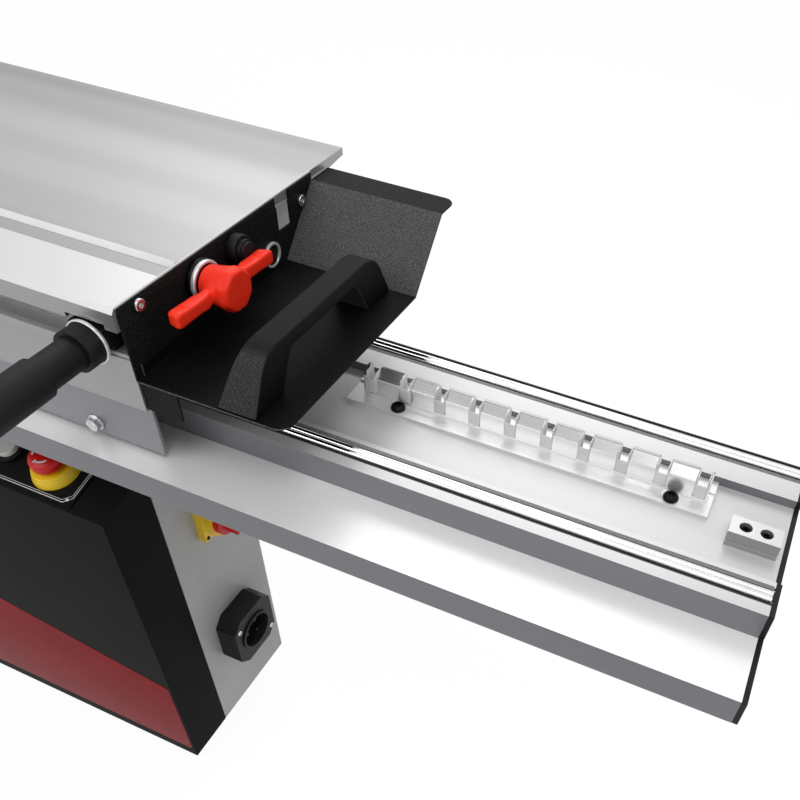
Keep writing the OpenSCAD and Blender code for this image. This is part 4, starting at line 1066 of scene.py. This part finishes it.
# %% Screws of the comb
screws_low, screws_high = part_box("comb_screws")
CAD_HEAD_R = 6.5 * MM
HEAD_FOOT = 8 * MM
heads = []
for i, x in enumerate((screws_low[0] + CAD_HEAD_R, screws_high[0] - CAD_HEAD_R)):
    place = (x, screws_low[1] + CAD_HEAD_R, screws_high[2] - HEAD_FOOT)
    heads.append(socket_screw("CombScrew_%d" % (i + 1), place, UPWARD, 7.6, 5.4, "frame", black_steel))
comb_heads = join_pieces("CombScrews", heads)
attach(comb_heads, "frame")
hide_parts("comb_screws")
print("comb screws", len(heads))

# %% [markdown]
# Thin dark lines run along the rail: one on its far edge, and a line of painted shadow on each side of
# both rod pairs, where the rods sit in their seats. A duller grey band lies between each pair and the
# channel.

# %% Lines along the rail
rail_low, rail_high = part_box("base_rail")
rods_low, rods_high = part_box("guide_rods")
PAIR = 12.2 * MM


def rail_strip(name, start_y, width, height, finish, edge):
    """A thin strip along the rail's top, width and height in mm."""
    strip = new_block(
        name, (rail_low[0] + MM, start_y, rail_high[2] - 0.5 * MM),
        (rail_high[0] - MM, start_y + width * MM, rail_high[2] + height * MM),
    )
    finish_piece(strip, finish, "frame", edge=edge)


rail_strip("RailLine_1", rail_high[1] - 2.6 * MM, 2.5, 1.4, black_plastic, 0.15)
# Painted shadow: black lines on both sides of each rod pair stand for the shade of the seats.
shadow_lines = (
    rods_low[1] - 1.7 * MM, rods_low[1] + PAIR + 0.3 * MM, rods_high[1] - PAIR - 1.7 * MM,
    rods_high[1] + 0.3 * MM,
)
for i, start_y in enumerate(shadow_lines):
    rail_strip("RailLine_%d" % (i + 2), start_y, 1.4, 0.3, black_plastic, 0.15)
rail_strip("RailBand_1", rods_low[1] + PAIR + 1.9 * MM, 4.6, 0.15, dull_band, 0.1)
rail_strip("RailBand_2", rods_high[1] - PAIR - 6.5 * MM, 4.6, 0.15, dull_band, 0.1)
print("rail lines", len(shadow_lines) + 1, "and 2 bands")

# %% [markdown]
# ## Emergency stop and start button
# The mushroom is turned, with a domed top. Three printed arrows show which way it is twisted to let it
# go. An arrow is a small face spun round the axis, with a three-sided point at its end.

# %% Emergency stop
BUTTON_UP = 37.85 * MM


def button_seat(node):
    """Where a button's axis meets the panel."""
    return corner + Vector((middle(node).x - corner.x, 0, 0)) + along * BUTTON_UP


stop_at = button_seat("estop_button")
mushroom = new_turning(
    "StopMushroom", stop_at, out,
    [(8, -22), (8, 19.3), (18.6, 19.3), (19.8, 21), (20, 24), (19.6, 28.5), (18, 31.4), (14.5, 33.2),
     (9, 34.1), (3, 34.3)],
)
finish_piece(mushroom, stop_red, "estop", edge=0.3)
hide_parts("estop_button")


ARROW_R = 11.8 * MM


def stop_arrow(name, turn_by):
    """One curved arrow on the dome, turned by some degrees."""
    alone()
    bpy.ops.mesh.primitive_plane_add(size=1)
    obj = named(name)
    obj.scale = (0.1 * MM, 2.2 * MM, 1)
    obj.location = (0, ARROW_R, 0)
    settle(obj)
    edit(obj)
    select_edges(obj, lambda a, b: a.x > 0 and b.x > 0)
    bpy.ops.mesh.spin(steps=12, angle=math.radians(64), center=(0, 0, 0), axis=(0, 0, 1))
    alone()
    bpy.ops.mesh.primitive_circle_add(vertices=3, radius=3.2 * MM, fill_type="NGON")
    point = bpy.context.active_object
    point.rotation_euler = (0, 0, math.radians(-94))
    tip_at = math.radians(68)
    point.location = (ARROW_R * math.sin(tip_at), ARROW_R * math.cos(tip_at), 0)
    settle(point)
    obj = join_pieces(name, [obj, point])
    obj.rotation_euler = (0, 0, math.radians(turn_by))
    settle(obj)
    apply_modifier(obj, "SOLIDIFY", thickness=0.12 * MM, offset=0)
    obj.rotation_euler = (PANEL_TILT, 0, 0)
    obj.location = stop_at + out * 33.95 * MM
    settle(obj)
    return finish_piece(obj, white_ink, "estop", edge=0)


for i in range(3):
    stop_arrow("StopArrow_%d" % (i + 1), i * 120)

# %% Start button
start = new_turning(
    "StartCap", button_seat("start_button"), out,
    [(12.5, -22), (12.5, 13.6), (11.9, 14.7), (11, 15), (10.2, 14.7), (9.4, 14), (5, 13.8)],
)
finish_piece(start, light_plastic, "start", edge=0.2)
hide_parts("start_button")
print("buttons", mushroom.name, start.name)

# %% [markdown]
# ## Power inlet and isolator
# The inlet has a raised rim round its recess and two bright screws. The isolator's plate has four small
# screws, and its red handle a white pointer line.

# %% Power inlet
inlet = middle("power_inlet")
inlet.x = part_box("power_inlet")[1][0]
rim = new_ring("InletRim", inlet, OUTWARD, 27.2, 31, -0.5, 3.2)
finish_piece(rim, black_plastic, "frame", edge=0.8, segments=3)
for i, (y, z) in enumerate(((-33, 30), (33, -30))):
    place = inlet + Vector((0, y * MM, z * MM))
    socket_screw("InletScrew_%d" % (i + 1), place, OUTWARD, 4, 2.4, "frame", zinc)
print("inlet", inlet)

# %% Isolator
PLATE_THICK = 12 * MM
plate = middle("isolator_plate")
plate.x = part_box("isolator_plate")[0][0] + PLATE_THICK
for i, (y, z) in enumerate(((-25, -25), (-25, 25), (25, -25), (25, 25))):
    place = plate + Vector((0, y * MM, z * MM))
    socket_screw("IsolatorScrew_%d" % (i + 1), place, OUTWARD, 2.8, 1.6, "frame", black_steel)
handle_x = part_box("isolator_knob")[1][0]
pointer = new_block(
    "IsolatorPointer",
    (handle_x - 0.1 * MM, plate.y - 1.2 * MM, plate.z + 4 * MM),
    (handle_x + 0.25 * MM, plate.y + 1.2 * MM, plate.z + 20 * MM),
)
finish_piece(pointer, white_ink, "isolator", edge=0.1)
print("isolator", plate)

# %% [markdown]
# ## Red band of the front cover
# A dark red band runs along the lower part of the black cover and rises towards the middle of the
# machine. It is a thin sheet with rounded corners, seated on the cover's front face.

# %% Red band
cover_low, cover_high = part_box("front_cover")
BAND_LEN = 0.9
BAND_RISE = 0.188
band_right = cover_high[0] - 4 * MM
band_left = band_right - BAND_LEN
band = new_block(
    "CoverBand",
    (band_left, cover_low[1] - 0.35 * MM, TOP_Z - 0.80),
    (band_right, cover_low[1] + 0.3 * MM, TOP_Z - 0.632),
)
edit(band)
pick(band, "VERT", lambda v: v.co.x < band_left + 0.001 and v.co.z > TOP_Z - 0.7)
bpy.ops.transform.translate(value=(0, 0, BAND_LEN * BAND_RISE))
select_edges(band, lambda a, b: abs(a.x - b.x) < 1e-6 and abs(a.z - b.z) < 1e-6)
bpy.ops.mesh.bevel(offset=6 * MM, segments=5, affect="EDGES")
leave_edit()
finish_piece(band, stripe_red, "frame", edge=0.12)
print("band", [round(v / MM) for v in band.dimensions])

# %% [markdown]
# ## Push tube
# The tube has a bright ring where it leaves the collar and a rubber sleeve with fine rings on its grip.
# The rings are steps of one turning, so the sleeve stays a single skin.

# %% Grip sleeve
tube_low, tube_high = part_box("push_tube")
tube = middle("push_tube")
grip_r = (tube_high[0] - tube_low[0]) / 2 / MM
GRIP_LEN = 150
RING_STEP = 5.8
sleeve_steps = [(grip_r - 1, 0), (grip_r + 0.6, 0.8)]
distance = 0.8
while distance < GRIP_LEN:
    for proud, further in ((0.6, 4.2), (0.1, 4.7), (0.1, 5.3), (0.6, RING_STEP)):
        sleeve_steps.append((grip_r + proud, distance + further))
    distance += RING_STEP
sleeve_steps.append((grip_r - 1, distance + 1))
tube.y = tube_low[1] + 12 * MM
sleeve = new_turning("GripSleeve", tube, (0, 1, 0), sleeve_steps, 48)
finish_piece(sleeve, rubber, "carriage", edge=0)
tube.y = NEAR_Y
bright_ring = new_ring("TubeBrightRing", tube, (0, 1, 0), 20.05, 22, -5.5, -2)
finish_piece(bright_ring, bright_zinc, "carriage", edge=0.8, segments=3)
print("sleeve", len(sleeve_steps), "steps")

# %% [markdown]
# ## Carbide tips of the blade
# Each tooth carries a small block of carbide, a little wider than the plate. One tip is modelled and
# then duplicated and turned round the arbor in edit mode, so that all of them stay one light mesh.

# %% Blade tips
blade_low, blade_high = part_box("main_blade")
blade_r = (blade_high[0] - blade_low[0]) / 2
blade_half = (blade_high[1] - blade_low[1]) / 2
TEETH = 48
tips = new_block(
    "BladeTips",
    (-1.1 * MM, -blade_half - 0.3 * MM, blade_r - 5.5 * MM),
    (1.1 * MM, blade_half + 0.3 * MM, blade_r - 0.4 * MM),
)
edit(tips)
turn_copies(TEETH, math.tau / TEETH)
leave_edit()
tips.location = middle("main_blade")
settle(tips)
finish_piece(tips, carbide, "arbor", edge=0)
print("teeth", TEETH)

# %% [markdown]
# ## Motor fins and fan cover
# A totally enclosed motor has cooling fins along its barrel and a fan cover with slots at its tail. One
# fin is duplicated and turned round the motor's axis. The slots are short black bars on the cover's face,
# painted shade that stands for the dark inside the openings.

# %% Motor fins
motor_low, motor_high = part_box("saw_motor")
motor_r = (motor_high[0] - motor_low[0]) / 2
motor_mid = Vector((middle("saw_motor").x, 0, motor_low[2] + motor_r))
fins = new_block(
    "MotorFins",
    (-1.3 * MM, motor_low[1] + 20 * MM, -motor_r - 4 * MM),
    (1.3 * MM, motor_high[1] - 45 * MM, -motor_r + 2 * MM),
)
edit(fins)
bpy.ops.mesh.select_all(action="SELECT")
FINS = 25
FIN_ARC = math.radians(264)
bpy.ops.transform.rotate(value=-FIN_ARC / 2, orient_axis="Y", center_override=(0, 0, 0))
turn_copies(FINS, FIN_ARC / (FINS - 1))
leave_edit()
fins.location = motor_mid
settle(fins)
finish_piece(fins, dark_cast, "lift", edge=0.4)
print("fins", FINS, [round(v / MM) for v in fins.dimensions])

# %% Fan cover
SLOTS = 16
# Painted shade: black bars stand for the dark inside the slots.
slot_shade = new_block("FanSlotShade", (-2 * MM, -0.4 * MM, 18 * MM), (2 * MM, 0.4 * MM, 52 * MM))
edit(slot_shade)
bpy.ops.mesh.select_all(action="SELECT")
turn_copies(SLOTS, math.tau / SLOTS)
leave_edit()
slot_shade.location = motor_mid + Vector((0, motor_high[1], 0))
settle(slot_shade)
finish_piece(slot_shade, black_plastic, "lift", edge=0.2)
print("fan slots", SLOTS)

# %% [markdown]
# ## Grips of the handwheels
# Each handwheel has a turned grip on its crank pin, wider at the middle, and a bright cap on its hub.

# %% Handwheel grips
PIN_LEN = 42 * MM
for wheel in ("tilt", "lift"):
    hub = middle(wheel + "_handwheel")
    outer_x, outer_y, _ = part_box(wheel + "_handwheel")[1]
    hub.x = outer_x - PIN_LEN
    pin = Vector((hub.x, outer_y - 8 * MM, hub.z))
    grip = new_turning(
        wheel.title() + "Grip", pin, OUTWARD,
        [(8.4, 0), (10.5, 1), (12, 12), (12.6, 24), (11.6, 34), (9, 40), (4, 41.6)], 32,
    )
    finish_piece(grip, black_plastic, wheel + "_wheel", edge=0)
    cap = new_turning(
        wheel.title() + "HubCap", hub, OUTWARD,
        [(15, 0), (15, 2.5), (12, 4.5), (5, 5.2)], 32,
    )
    finish_piece(cap, zinc, wheel + "_wheel", edge=0.2)
    print(wheel, [round(v / MM) for v in pin])

# %% [markdown]
# ## Rip fence scale
# A white tape with ticks runs along the front of the tables under the fence bar.

# %% Scale strip
tape_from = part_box("main_table")[0][1] + 30 * MM
tape_x, tape_to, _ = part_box("extension_table")[1]
strip = new_block(
    "ScaleStrip",
    (tape_x - 0.1 * MM, tape_from, tape_base),
    (tape_x + 0.5 * MM, tape_to - 10 * MM, tape_base + 18 * MM),
)
finish_piece(strip, scale_tape, "frame", edge=0.1)
print("tape", round(strip.dimensions.y / MM), "mm long")

# %% Finish
bpy.context.scene.view_settings.view_transform = "Standard"
alone()
